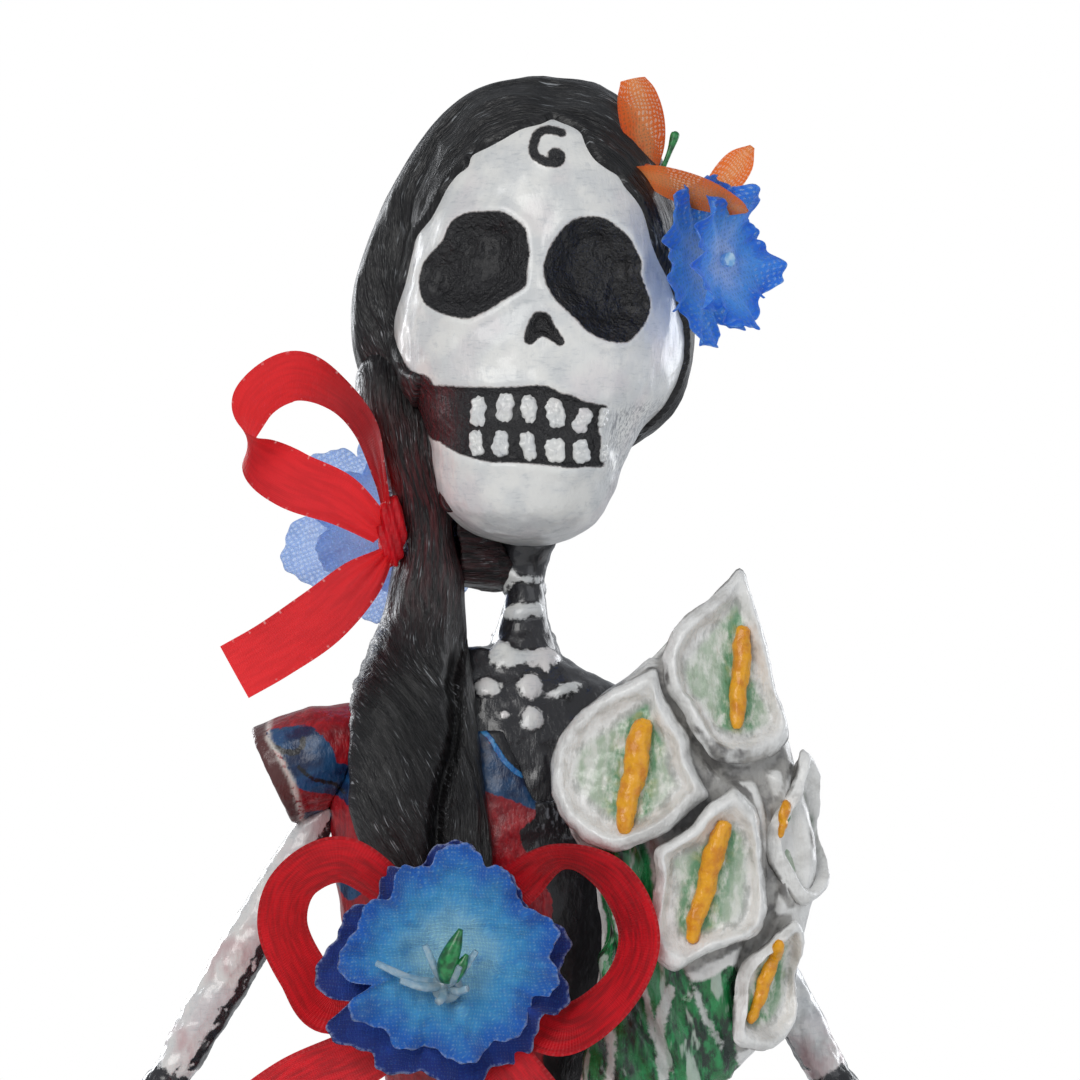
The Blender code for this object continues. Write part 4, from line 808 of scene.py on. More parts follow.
def make_teeth(skull):
    tree = surface_of(skull)
    bm = bmesh.new()
    for number, (x, z, half_wide, half_tall, lean) in enumerate(TEETH):
        place, _ = on_surface(tree, x, z)
        facing = np.array((x - HEAD[0], -HEAD_FRONT, 0)) / math.hypot(x - HEAD[0], HEAD_FRONT)
        across = np.array((-facing[1], facing[0], 0))
        turn = math.radians(lean)
        side = across * math.cos(turn) - np.array((0, 0, math.sin(turn)))
        up = across * math.sin(turn) + np.array((0, 0, math.cos(turn)))
        made = bmesh.ops.create_uvsphere(bm, u_segments=48, v_segments=24, radius=1)["verts"]
        for v in made:
            a, b, c = v.co
            flat = math.hypot(a, b)
            square = (abs(a) ** 3.2 + abs(b) ** 3.2) ** (1 / 3.2) if flat > 1e-6 else 1
            grow = flat / square if square > 1e-6 else 1
            a, b = a * grow, b * grow
            bulge = math.copysign(abs(c) ** 0.7, c)
            wave = noise.noise(Vector((a * 1.2 + number * 5, b * 2.1, 2.2)))
            dab = noise.noise(Vector((a * 2.6, b * 3.4 + number * 3, 7.1)))
            spot = place + side * a * half_wide * (1.02 + 0.42 * wave) + up * b * half_tall * (1 + 0.14 * dab)
            spot = spot + facing * ((0.95 + 0.4 * wave + 0.35 * dab) * bulge - 0.15)
            v.co = Vector(spot * MM) + WAIST
    teeth = new_piece("painted teeth", bm, "skull", slot="bone_paper", finish=bone_finish("tooth paint"))
    store(teeth, "blush", np.zeros(len(teeth.data.vertices)))


# ---------------------------------------------------------------- hair

CAP_SIZE = (43.3, -33.2, 27.1, -23.5, 31)       # up, left, right, front and back of the head's middle
# Shares of the cap's size, level by level
CAP_SHARES = ((0.99, 0.24, 0.26, 0.30, 0.34), (0.93, 0.45, 0.42, 0.62, 0.58), (0.84, 0.60, 0.56, 0.82, 0.74),
              (0.70, 0.73, 0.70, 0.98, 0.87), (0.50, 0.86, 0.84, 1.05, 0.96), (0.28, 0.95, 0.94, 1.08, 1.00),
              (0.06, 1.00, 1.00, 1.08, 1.00), (-0.14, 0.98, 1.00, 1.05, 0.96), (-0.32, 0.90, 0.90, 1.00, 0.86),
              (-0.48, 0.84, 0.62, 0.80, 0.72), (-0.60, 0.78, 0.30, 0.40, 0.55))
# z, left, right, front and back
TAIL_LEVELS = ((157, -23.6, -21, 0, 4), (153, -25.8, -19, -3.6, 6), (148, -27.4, -16.4, -7.0, 8),
               (140, -26.6, -12.5, -9.5, 8), (131, -23.4, -10.3, -10.8, 7), (121, -21, -8.8, -11.3, 5),
               (112, -21.5, -8.3, -12.2, 3), (105, -23, -8, -14.5, 2), (99, -25.5, -7, -18, -1),
               (92, -27.6, -6.0, -21.6, -9), (80, -27.6, -4.9, -24.0, -12), (70, -26.7, -3.6, -25.2, -13),
               (62, -22.5, -2.9, -25.6, -14), (55, -17.5, -4.5, -25.2, -15), (49, -14, -8.5, -24.2, -16.5))
TAIL_CREASE = ((-8.3, 102.8), (-10, 95.9), (-9.5, 90.8), (-9.5, 85.6), (-12, 77), (-12.6, 70.1), (-12.9, 65))


def comb_through(piece, comb, ridge):
    """Raises strands along the comb's coordinates, which are fine across the strands and long along them."""
    places = points(piece)
    strands = lumps(comb * np.array((1, 0.7, 0.7)), 1.5, 4, 2) * 0.38
    strands += lumps(comb * np.array((1, 0.6, 0.6)), 4.0, 5, 2) * 0.4
    move_to(piece, places + normals(piece) * (strands * ridge)[:, None])
    store(piece, "comb", comb)


def make_cap(skull, finish):
    levels = [tuple(np.array(CAP_SIZE) * shares) for shares in CAP_SHARES]
    cap = new_piece("combed hair", loft(level_rings(levels, on_head=True), 320, 18), "hair_cap",
                    slot="hair_paper", finish=finish)
    places = points(cap)
    x, y, z = places.T
    tree = surface_of(skull)
    reach = np.linalg.norm(places - HEAD, axis=1)
    away = (places - HEAD) / reach[:, None]
    under = reach - 3
    near = np.nonzero(y < 14)[0]
    for i in near:
        hit, _, _, _ = tree.ray_cast(Vector((HEAD + away[i] * 60) * MM) + WAIST, Vector(-away[i]))
        if hit is not None:
            under[i] = np.linalg.norm(np.array((hit - WAIST) / MM) - HEAD)
    hairline = [(at - 3.0 * float(np.clip((152.5 - up) / 6, 0, 1)) * (at < 0 and up > 130), up) for at, up in FACE]
    landed = HEAD + away * (under + 0.4)[:, None]
    beyond = outline_distance(landed[:, 0], landed[:, 2], hairline) + np.maximum(0, y + 7) * 1.3
    beyond = np.where(y < 14, beyond, 40)
    full = np.maximum(reach - under, 0.9)
    corner = (x < 2) * (y < 14) * ease(z, 160, 143) * (1 - ease(beyond, 3, 8))
    full = full + (1.0 - full) * corner
    height = -1.6 + 2.7 * ease(beyond, -0.9, 0.15) + (full - 1.1) * ease(beyond, 0, 7.0)
    moved = (beyond < 7) | (corner > 0) & (y < 14)
    places = np.where(moved[:, None], HEAD + away * (under + height)[:, None], places)
    move_to(cap, places)
    local = (places - HEAD) @ HEAD_TURN
    spread = np.arctan2(np.hypot(local[:, 0], local[:, 2]), -local[:, 1]) * 28
    turn = np.arctan2(local[:, 2], local[:, 0])
    comb = np.stack([spread + 1.2 * np.sin(turn * 2), np.cos(turn) * 4.5, np.sin(turn) * 4.5], axis=1)
    comb_through(cap, comb, ease(beyond, -0.4, 1.5))
    store(cap, "maroon", ease(np.hypot(x + 13, z - 141), 13, 5) * (y < 5) * 0.9)
    return cap


def make_ponytail(finish):
    tail = new_piece("ponytail", loft(level_rings(TAIL_LEVELS), 240, 14, 2.2), "hair_tail", "hair_lock_outer",
                     "hair_lock_inner", slot="hair_paper", finish=finish)
    places = points(tail)
    x, y, z = places.T
    crease = stroke_distance(x, z, (TAIL_CREASE, 0.0))
    groove = np.exp(-(crease / 1.1) ** 2) * ease(z, 108, 97)
    tie = np.exp(-((z - 121.5) / 4.5) ** 2)
    places[:, 1] += groove * 3.0 * (y < -8)
    places[:, 0] += (-15.0 - x) * tie * 0.22
    move_to(tail, places)
    low = ease(z, 108, 90)
    inner = ease(x - (-9.5 + 0.10 * (z - 80)), -1.0, 1.0)
    slant = (z - 100) * np.where(inner > 0.5, 0.10, 0.62) * low
    slant = slant + 1.6 * np.sin(z * 0.16 + x * 0.12) + 0.7 * lumps(places, 9, 31, 2)
    comb = np.stack([x * 1.2 + slant + y * 0.5, z * 0.16, y * 0.3 + inner * 9], axis=1)
    comb_through(tail, comb, np.ones(len(z)))
    store(tail, "maroon", np.exp(-((z - 126) / 14) ** 2) * (y < -2) * 0.8)
    roll = new_piece("combed roll", moulded(("hair_roll",), 0.4, 4), "hair_roll", slot="hair_paper", finish=finish)
    places = points(roll)
    comb = np.stack([places[:, 2] * 1.2, places[:, 0] * 0.2, places[:, 1] * 0.6], axis=1)
    comb_through(roll, comb, np.ones(len(places)))
    store(roll, "maroon", np.full(len(places), 0.3))


# ---------------------------------------------------------------- neck, chest, blouse and arms

NECK_BONES = (
    ((-3.1, 115.7), (-1.7, 116.2), (0, 115.2), (1.7, 114), (3.4, 113.5), (5.5, 113.1),
    (4.8, 112.5), (1.7, 112.6), (0.3, 112.6), (-0.2, 111.4), (-1.2, 110.9), (-1.7, 112.6),
    (-2.8, 114)),
    ((-1, 107.8), (0.9, 108.7), (3.4, 108.8), (5.2, 108.7), (5.7, 107.5), (5.3, 106.3),
    (3.4, 106.6), (0.9, 105.9), (-1, 106.6)),
    ((-3.4, 100.8), (-2.1, 102.3), (-0.9, 102), (0.9, 100.9), (3.4, 100.6), (6, 101.1),
    (7.9, 100.6), (8.9, 99), (7.2, 98), (6.5, 97.1), (4.8, 98), (1.7, 98.3), (-1.2, 97.5),
    (-3.4, 98.7)))
# (x, z, half width, half height, lean in degrees) of each dab on the chest
CHEST_DABS = ((-3.96, 94.22, 2.41, 1.72, 0), (3.44, 94.56, 2.06, 2.15, 0), (9.63, 93.88, 2.58, 1.03, 20),
              (3.78, 88.89, 1.89, 2.06, 0), (-0.86, 89.75, 0.77, 0.77, 0))
BLOUSE_BLUE = (
    ((-42.7, 86.5), (-36.1, 87.7), (-33.5, 86.5), (-31, 83.9), (-30.1, 81.3), (-27.5, 80.5),
    (-26.1, 77), (-27.5, 73.2), (-30.1, 75.3), (-35.3, 76.2), (-37.8, 77.9), (-39.6, 82.2),
    (-42.1, 84.8)),
    ((-36.1, 72.2), (-31.8, 72.5), (-31.8, 70.5), (-35.4, 70.1)),
    ((-6.9, 84.8), (-1.7, 81.3), (2.6, 77.9), (6, 73.2), (-1.7, 75.8), (-5.5, 77.7)),
    ((-30.1, 65.8), (-28.4, 63.3), (-25.8, 59), (-28.4, 57.2), (-31, 60.7), (-33, 63.6)),
    ((-22.4, 63.3), (-13.8, 58.1), (-13.8, 47.8), (-22.4, 51.2)),
    ((-8.3, 90.4), (-6, 88.4), (-3.4, 84.9), (-1.2, 81.7), (2.2, 79.1), (6, 78.4), (6.5, 73.2),
    (-1.7, 75.8), (-5.5, 77.7), (-8.3, 80.5)))
BLOUSE_BLACK = (
    ((5.7, 92.5), (18.9, 94.2), (22.4, 71.9), (15.5, 58.1), (5.2, 65), (4.5, 75.3)),
    ((-6.9, 95.9), (6.5, 95.9), (6.5, 80.1), (5.2, 78.4), (2.2, 79.4), (-1.2, 81.8), (-3.4, 85.3),
    (-6, 88.7), (-8.6, 92.5)),
    ((1.7, 70.1), (15.5, 70.1), (15.5, 25.4), (6.5, 25.4), (6, 47.8), (7.2, 58.1)))
BLOUSE_LINES = (
    (((-43, 85.6), (-40.4, 83.6), (-37.8, 83), (-36.3, 84.1), (-36.1, 85.4)), 0.5),
    (((-36.8, 80.5), (-34.4, 78.4), (-31.3, 77.7), (-28.9, 76)), 0.35))
NECKLINE = ((-6.4, 89.7), (-5, 87.3), (-3.4, 85.6), (-1.2, 82.2), (0.9, 80.1), (2.8, 79.3),
    (6, 80.8), (8.6, 84.8))


def make_neck():
    neck = new_piece("neck and chest", moulded(("torso", "neck"), 0.62, 4), "torso", "neck", slot="black_paper",
                     finish=bone_finish("bone over black", "dark"))
    places, out = points(neck), normals(neck)
    x, y, z = places.T
    bones = outline_distance(x, z, *NECK_BONES)
    for dab_x, dab_z, half_wide, half_tall, lean in CHEST_DABS:
        turn = math.radians(lean)
        u, w = x - dab_x, z - dab_z
        a, b = u * math.cos(turn) + w * math.sin(turn), w * math.cos(turn) - u * math.sin(turn)
        reach = np.hypot(a / half_wide, b / half_tall)
        bones = np.minimum(bones, (reach - 1) * min(half_wide, half_tall))
    back_bones = 0.6 - 2.2 * np.cos((z - 103) * 2 * math.pi / 8.5) + np.abs(x - 2) * 0.25
    ribs = np.where(y < 1, bones, np.where(z > 99, back_bones, 4))
    places += out * (ease(-ribs, -0.3, 0.8) * 0.7 + lumps(places, 3.5, 6) * 0.35)[:, None]
    move_to(neck, places)
    store(neck, "dark", -ribs)
    store(neck, "blush", np.zeros(len(x)))


def make_blouse(finish):
    for name, node, side in (("blouse", "blouse_body", 0), ("right sleeve", "sleeve_right", -1),
                             ("left sleeve", "sleeve_left", 1)):
        clay = moulded((node,), 0.55 if side == 0 else 0.45, 3)
        piece = new_piece(name, clay, node, slot="blouse_paper", finish=finish)
        knead(piece, 6, 0.35, side)
        places = points(piece)
        x, y, z = places.T
        wild = lumps(places, 11, 8 + side, 2)
        front = y < 1
        blue = outline_distance(x, z, *BLOUSE_BLUE)
        blue = np.where(front, np.minimum(blue, (0.28 - wild) * 14 + (x < 8) * 30), (0.12 - wild) * 12)
        black = np.where(front, outline_distance(x, z, *BLOUSE_BLACK), (wild + 0.34) * 12)
        lines = np.where(front, stroke_distance(x, z, *BLOUSE_LINES), np.abs(np.sin(wild * 9)) * 3 - 0.3)
        store(piece, "blue", blue)
        store(piece, "black", np.minimum(black, lines))
        bright = stroke_distance(x, z, (NECKLINE, 0.45))
        store(piece, "bright", np.where(front & (side == 0), bright, 5))
        store(piece, "dry", np.where(front, ease(x, 2, 6) * ease(z, 62, 80) * 0.5, 0.1))
        # how far past each sleeve's opening a place lies: the inside there gets painted shade through the inner mark,
        # and the raw edge runs along it
        edge_x = np.interp(z, (72.7, 77.9, 82.2, 85.3), (-37.0, -38.2, -40.4, -42.6))
        inside_shade_edge = (x - edge_x) if side == -1 else -(x - 36.5 - (z - 70) * 0.28)
        inside_shade_edge = np.where(side == 0, 5, inside_shade_edge)
        store(piece, "inner", np.where(y < 8, inside_shade_edge, 5))
        store(piece, "raw", np.where(side != 0, ease(np.abs(inside_shade_edge - 0.3), 0.9, 0.1) * 0.8, 0))


def make_arms():
    paint = bone_finish("arm bone paint", "dark")
    for name, side, inward in (("right", -1, (0.75, -0.1, -0.66)), ("left", 1, (-0.6, 0.2, -0.75))):
        nodes = [f"{part}_{name}" for part in ("upper_arm", "elbow", "forearm", "hand")]
        arm = new_piece(f"{name} arm", moulded(nodes, 0.35, 5, 0.3), *nodes, slot="bone_paper", finish=paint)
        knead(arm, 4.0, 0.45, side)
        places, out = points(arm), normals(arm)
        x, y, z = places.T
        elbow = np.linalg.norm(places - np.array((-1.7 + side * 59.2, 0, 23.6)), axis=1) - 4.9
        edge = (0.62 - out @ np.array(inward)) * 5
        store(arm, "dark", np.minimum(elbow, np.where(z > 27, edge, 4)))
        store(arm, "blush", ease(lumps(places, 9, 11), -0.1, 0.4) * 0.7)


# ---------------------------------------------------------------- skirt, sash and base

def drop_share(z):
    """0 at the waist and 1 at the hem, for a height above the base."""
    return (SKIRT_HEIGHT - z) / SKIRT_HEIGHT


def skirt_radius(z):
    share = np.clip(drop_share(z), 0, 1)
    flare = HEM_RADIUS - WAIST_RADIUS - HIP_SWELL
    return WAIST_RADIUS + HIP_SWELL * np.sin(np.minimum(1, share / 0.16) * math.pi / 2) + flare * share ** 1.25


def paper_wall(name, low, high, out, node, rows, finish):
    """The skirt's hollow paper wall; low and high are above the base."""
    around = int(360 * FINE)
    bm = bmesh.new()
    bmesh.ops.create_cone(bm, cap_ends=False, segments=around, radius1=1, radius2=1, depth=1)
    upright = [e for e in bm.edges if abs(e.verts[0].co.z - e.verts[1].co.z) > 0.5]
    bmesh.ops.subdivide_edges(bm, edges=upright, cuts=rows - 1)
    verts = unit_places(bm)
    turn = np.arctan2(verts[:, 1], verts[:, 0])
    z = low + (high - low) * (verts[:, 2] + 0.5)
    fold = 3.2 * np.maximum(0, drop_share(z) - 0.12) ** 1.2 * (np.cos(9 * turn) + 0.35 * np.cos(7 * turn + 1.3))
    fine = 0.5 * np.cos(31 * turn + 0.02 * z) * np.clip(drop_share(z), 0, 1)
    radius = skirt_radius(z) + out + fold + fine
    middle = -1.7 * np.maximum(0, 1 - (SKIRT_HEIGHT - z) / 88.5)
    places = np.stack([middle + radius * np.cos(turn), SKIRT_DEPTH * radius * np.sin(turn), z - SKIRT_HEIGHT], axis=1)
    put(bm, places)
    bmesh.ops.recalc_face_normals(bm, faces=bm.faces)
    wall = new_piece(name, bm, node, slot="skirt_paper", finish=finish)
    knead(wall, 9, 0.35, 3)
    solid = wall.modifiers.new("Wall", "SOLIDIFY")
    solid.thickness = 2.0 * MM
    solid.offset = -1
    return wall, turn, z


def dots(turn, pairs, pitch, height, shift=0.0):
    """How far each place is from the nearest of a row of dots round the skirt, two to each of the pairs."""
    return np.hypot(((turn * pairs / math.pi + shift) % 1 - 0.5) * pitch, height)


def make_skirt():
    paint = skirt_finish()
    skirt, turn, z = paper_wall("painted skirt", 85, 294.7, 0, "skirt_shell", 120, paint)
    wave = 5 * np.cos(9 * turn) + 3 * np.sin(14 * turn + 1)
    upper, lower = z - 236 - wave, z - 150 - wave * 1.3
    store(skirt, "red", np.minimum(np.abs(upper) - 11, np.abs(lower) - 13))
    store(skirt, "black", np.minimum(np.abs(np.abs(upper) - 12.5) - 0.9, np.abs(np.abs(lower) - 14.5) - 1.1))
    store(skirt, "bright", np.minimum(dots(turn, 14, 26, upper, 0.5) - 3.6, np.abs(z - 193 - wave) - 1.2))
    store(skirt, "white", dots(turn, 20, 22, lower) - 3.0)
    flounce, turn, z = paper_wall("painted flounce", 0.3, 92, 2.3, "skirt_flounce", 60, paint)
    wave = 3.5 * np.cos(18 * turn)
    band = z - 60
    store(flounce, "red", np.abs(band) - 14)
    store(flounce, "black", np.minimum(np.abs(z - 88 - wave * 0.5) - 1.6, np.abs(np.abs(band) - 15) - 1.0))
    store(flounce, "bright", np.minimum(np.abs(z - 26 - wave) - 2.2, dots(turn, 16, 30, band, 0.5) - 4))
    store(flounce, "white", np.minimum(z - 5.5 - wave * 0.8, dots(turn, 16, 30, band) - 3))


def make_sash(finish):
    sash = new_piece("paper sash", moulded(("waist_sash",), 0.45, 3), "waist_sash", slot="sash_paper", finish=finish)
    knead(sash, 5, 0.4, 9)


# ---------------------------------------------------------------- lilies

# z, left, right, and shares of the front and back depth
BUNCH_LEVELS = ((112.5, 37.2, 40.6, 0.62, 0.95), (106, 31, 41.5, 0.72, 0.90), (99, 23, 43.6, 0.82, 0.84),
                (92, 14, 45.3, 0.92, 0.86), (85, 9.5, 47.6, 0.97, 0.92), (77, 8.2, 50, 1.0, 1.0),
                (70, 10.5, 52, 1.0, 1.0), (63, 14, 52.3, 1.0, 1.0), (54, 15.5, 50.4, 0.98, 1.0),
                (47, 15, 49, 0.96, 1.0), (40, 14, 47, 0.93, 1.02), (33, 13, 42, 0.92, 1.05), (26, 12, 35, 0.92, 1.08),
                (17, 10, 26, 0.92, 1.12), (8, 7, 19.5, 0.92, 1.15), (-2, 4, 16, 0.93, 1.15), (-12, 2, 17, 0.95, 1.12),
                (-18, 1, 18, 0.96, 1.12))
# brush paths of the bunch's creases, each (path, half width): sunk into the surface and painted with shade
SHADED_CREASES = ((((25.8, 102.8), (26.1, 98.5), (27.2, 93.4), (31, 89.1), (33.5, 84.2), (37.8, 80.8),
    (41.3, 80.5), (45.1, 82.5)), 1.0),
           (((22.4, 70.1), (24.1, 65), (24.9, 58.1), (27.2, 49.5), (29.9, 43.5)), 0.7),
           (((13.8, 66.7), (15.5, 58.1), (17.2, 47.8), (22.4, 39.2), (26.7, 30.6)), 0.6),
           (((42.7, 80.5), (44.4, 75.3), (45.1, 66.7), (44.4, 58.1), (42.5, 52.9)), 0.8),
           (((42.5, 53.8), (39.9, 49.2), (38.9, 42.6), (39.9, 35.7)), 0.5))
LEAVES = ((13.8, 67.6), (22.4, 69.3), (24.9, 57.2), (31, 45.2), (38.7, 47.8), (38.7, 34),
    (37.8, 24.6), (13.8, 24.6), (14.1, 47.8))
VEINS = ((((17.9, 58.1), (20.3, 49.5), (22.7, 43.5), (24.4, 35.7)), 0.6),
         (((27.2, 43.5), (25.5, 37.5), (26.1, 28.9)), 0.9),
         (((15.5, 40.9), (17.5, 34), (16.5, 27.1)), 0.7), (((31.6, 43.5), (33, 39.2), (36.1, 34)), 0.5))
# place and facing
CALLAS = (((36.6, -30.0, 96.0), (0.28, -1, 0.25)), ((20.3, -34.0, 81.0), (-0.15, -1, 0.12)),
          ((34.5, -35.6, 62.5), (0.10, -1, -0.05)), ((49.0, -26.5, 69.5), (0.86, -0.62, 0.08)),
          ((44.6, -31.0, 46.0), (0.62, -0.92, -0.18)))
LILY_OUTLINES = (
    ((39.2, 114.9), (41.5, 108.7), (43.9, 100.8), (46.1, 92.5), (47.6, 87.3), (46.3, 84.6),
    (42.8, 82.7), (38.2, 81.7), (34.2, 82.7), (31.1, 86.7), (28.9, 91.3), (26.7, 94.7),
    (26, 100.1), (27.2, 103.5), (29.6, 106.8), (33.5, 109.7), (36.5, 112.3)),
    ((33.4, 77.4), (31, 82.7), (30.3, 86.7), (28.2, 90.1), (26.1, 94), (24.9, 98),
    (21.5, 96.6), (17.5, 94.7), (13.6, 92), (9.5, 88), (7.2, 83.4), (6.7, 78.7), (8.1, 74.1),
    (10.8, 70.7), (14.8, 67.9), (18.2, 67.2), (21.5, 68.2), (24.9, 69.6), (28.9, 72.5),
    (32.2, 75.8)),
    ((38.2, 78.4), (41.5, 74.8), (42.7, 69.3), (43.3, 63.3), (43.5, 58.6), (42.8, 54.7),
    (40.8, 52.6), (37.5, 51.6), (33.5, 50.2), (30.3, 48.5), (27.5, 47.3), (24.8, 49.3),
    (23.6, 52.8), (24.1, 58.1), (24.8, 63.3), (24.3, 67.4), (26.8, 69.5), (30.3, 72),
    (33.5, 75.6), (36.1, 77.4)),
    ((48.2, 84.2), (50.4, 80.1), (51.8, 73.4), (53, 66), (51.8, 60.7), (48.5, 57.6),
    (46.3, 60.9), (44.9, 66.7), (44.9, 70.7), (45.4, 74.4), (46.4, 77.9), (47.1, 80.8)),
    ((47, 56), (48.3, 53.3), (48.8, 48), (48.3, 43.3), (47.1, 38.7), (44.4, 35.2),
    (40.9, 33.8), (37.3, 35.1), (38, 40), (39.2, 44.7), (41.1, 49.5), (44, 53.6)))
# foot and head of each spadix from the front, and its radius
SPADICES = (((38.4, 88.7), (39.9, 104.6), 1.45), ((19.3, 71.5), (22.6, 88.7), 1.95),
            ((30.8, 53.0), (36.0, 71.9), 1.6), ((46.1, 69.8), (46.8, 75.6), 0.8), ((41.0, 38.8), (45.6, 51.6), 1.1))
# outline of the painted shade in the tuck under the first lily's lip
SHADED_FOLD = ((26.5, 100.2), (29.2, 92.5), (32.2, 88.7), (36.5, 86), (42.5, 84.9), (48.2, 85.3),
    (45.6, 80.5), (38.2, 80.1), (33, 81.5), (29.6, 86.5), (26.1, 94.2))


def mark_lily(piece, **given):
    count = len(piece.data.vertices)
    for name, far in (("throat", 9), ("near_spadix", 9), ("crease", 0), ("leaf", 9), ("vein", 9), ("backing", 0)):
        store(piece, name, given.get(name, np.full(count, far)))


def make_bunch(finish):
    levels = [(z, l, r, -34 * front, -17.5 * back) for z, l, r, front, back in BUNCH_LEVELS]
    bunch = new_piece("lily stems and leaves", loft(level_rings(levels), 300, 9, 2.2), "bouquet_core",
                      slot="lily_paper", finish=finish)
    places, out = points(bunch), normals(bunch)
    x, y, z = places.T
    front = out[:, 1] < 0.25
    crease = stroke_distance(x, z, *SHADED_CREASES)
    leaf = outline_distance(x, z, LEAVES)
    vein = stroke_distance(x, z, *VEINS)
    relief = lumps(places, 6, 12) * 0.5 - np.where(front, 1.3 * np.exp(-(np.maximum(crease, 0) / 0.7) ** 2), 0)
    relief += np.where(front, 0.5 * ease(-leaf, 0, 1.2) * np.cos(x * 1.1 + z * 0.55), 0)
    within = outline_distance(x, z, *LILY_OUTLINES)
    relief -= np.where(front, 2.2 * ease(-within, 1.0, 3.5), 0)
    # painted shade: dark grey along the creases and round the outline of each lily, where it meets the bunch
    crease = np.minimum(crease, np.abs(within) - 0.55 + lumps(places, 7, 15) * 1.6)
    move_to(bunch, places + out * relief[:, None])
    back_leaf = np.where(lumps(places, 12, 14, 2) > 0.05, -2, 2)
    mark_lily(bunch, crease=np.where(front, ease(crease, 0.9, -0.1), 0), leaf=np.where(front, leaf, back_leaf),
              vein=np.where(front, vein, 9), backing=ease(out[:, 1], 0.35, 0.75) * 0.8)


def make_callas(finish):
    ochre = spadix_finish()
    for number, ((place, face), outline) in enumerate(zip(CALLAS, LILY_OUTLINES), 1):
        face = np.array(face) / np.linalg.norm(face)
        up = np.array((0, 0, 1)) - face * face[2]
        up /= np.linalg.norm(up)
        across = np.cross(up, face)
        bm, down, out, angle = disc(200)
        upper = down <= 1.0001
        full = outline_reach(outline, place, across, up, angle)
        lift = 2.2 * out ** 2 - 3.0 * (out * np.cos(angle)) ** 2
        lift += np.where(upper, 1.9 * np.exp(-((out - 0.86) / 0.11) ** 2) + 0.25 * np.exp(-(out / 0.5) ** 2),
                         -3.4 * (1 - out ** 3))
        lift += 0.7 * np.sin(2 * angle + number) * out ** 2 - 0.8 * ease(out, 0.94, 1.0)
        spots = (np.array(place) + (full * out * np.cos(angle))[:, None] * across
                 + (full * out * np.sin(angle))[:, None] * up + lift[:, None] * face)
        put(bm, spots)
        calla = new_piece(f"lily {number}", bm, f"calla_spathe_{number}", slot="lily_paper", finish=finish)
        knead(calla, 4.0, 0.35, number)
        x, _, z = spots.T
        foot, head, radius = SPADICES[number - 1]
        near = stroke_distance(x, z, ((foot, head), radius), steps=4)
        throat = (out - 0.66 + 0.05 * np.sin(3 * angle + number)) * full
        # painted shade: the crease mark darkens each spathe's underside and its edge, and on lily 1 the tuck under
        # its lip
        rim = np.maximum(ease(np.abs(out - 0.995), 0.03, 0.0) * 0.9, (~upper) * 1.0)
        crease = rim * (0.35 + 0.65 * ease(lumps(spots, 5, number), -0.35, 0.1))
        if number == 1:
            fold = outline_distance(x, z, SHADED_FOLD)
            tuck_shade = ease(-fold, -0.2, 1.0) * (0.55 + 0.6 * lumps(spots, 2.5, 3))
            crease = np.maximum(crease, np.where(upper, tuck_shade, 0))
        mark_lily(calla, throat=np.where(upper, throat, 9), near_spadix=np.where(upper, near, 9), crease=crease)
        tree = surface_of(calla)
        rows = []
        for k, swell in enumerate((0.70, 0.92, 0.98, 1.02, 1.10, 1.08, 0.80)):
            at = np.array(foot) + (np.array(head) - np.array(foot)) * k / 6
            spot, _ = on_surface(tree, at[0] + 0.12 * radius * math.sin(k * 1.9 + number), at[1])
            if spot is not None:
                rows.append((*(spot + np.array((0, -0.4 * radius, 0))), radius * swell))
        for end, beyond in ((0, 1), (-1, -2)):
            last, step = np.array(rows[end]), np.array(rows[end]) - np.array(rows[beyond])
            step[1] = 0
            tip = last[:3] + step[:3] / np.linalg.norm(step[:3]) * radius * 0.5
            tip = (*tip, radius * 0.35)
            rows = [tip] + rows if end == 0 else rows + [tip]
        spadix = new_piece(f"spadix {number}", tube(rows, 48, 8), f"calla_spadix_{number}", slot="spadix_paper",
                           finish=ochre)
        knead(spadix, 2.2, 0.3, number)


# ---------------------------------------------------------------- satin ribbons

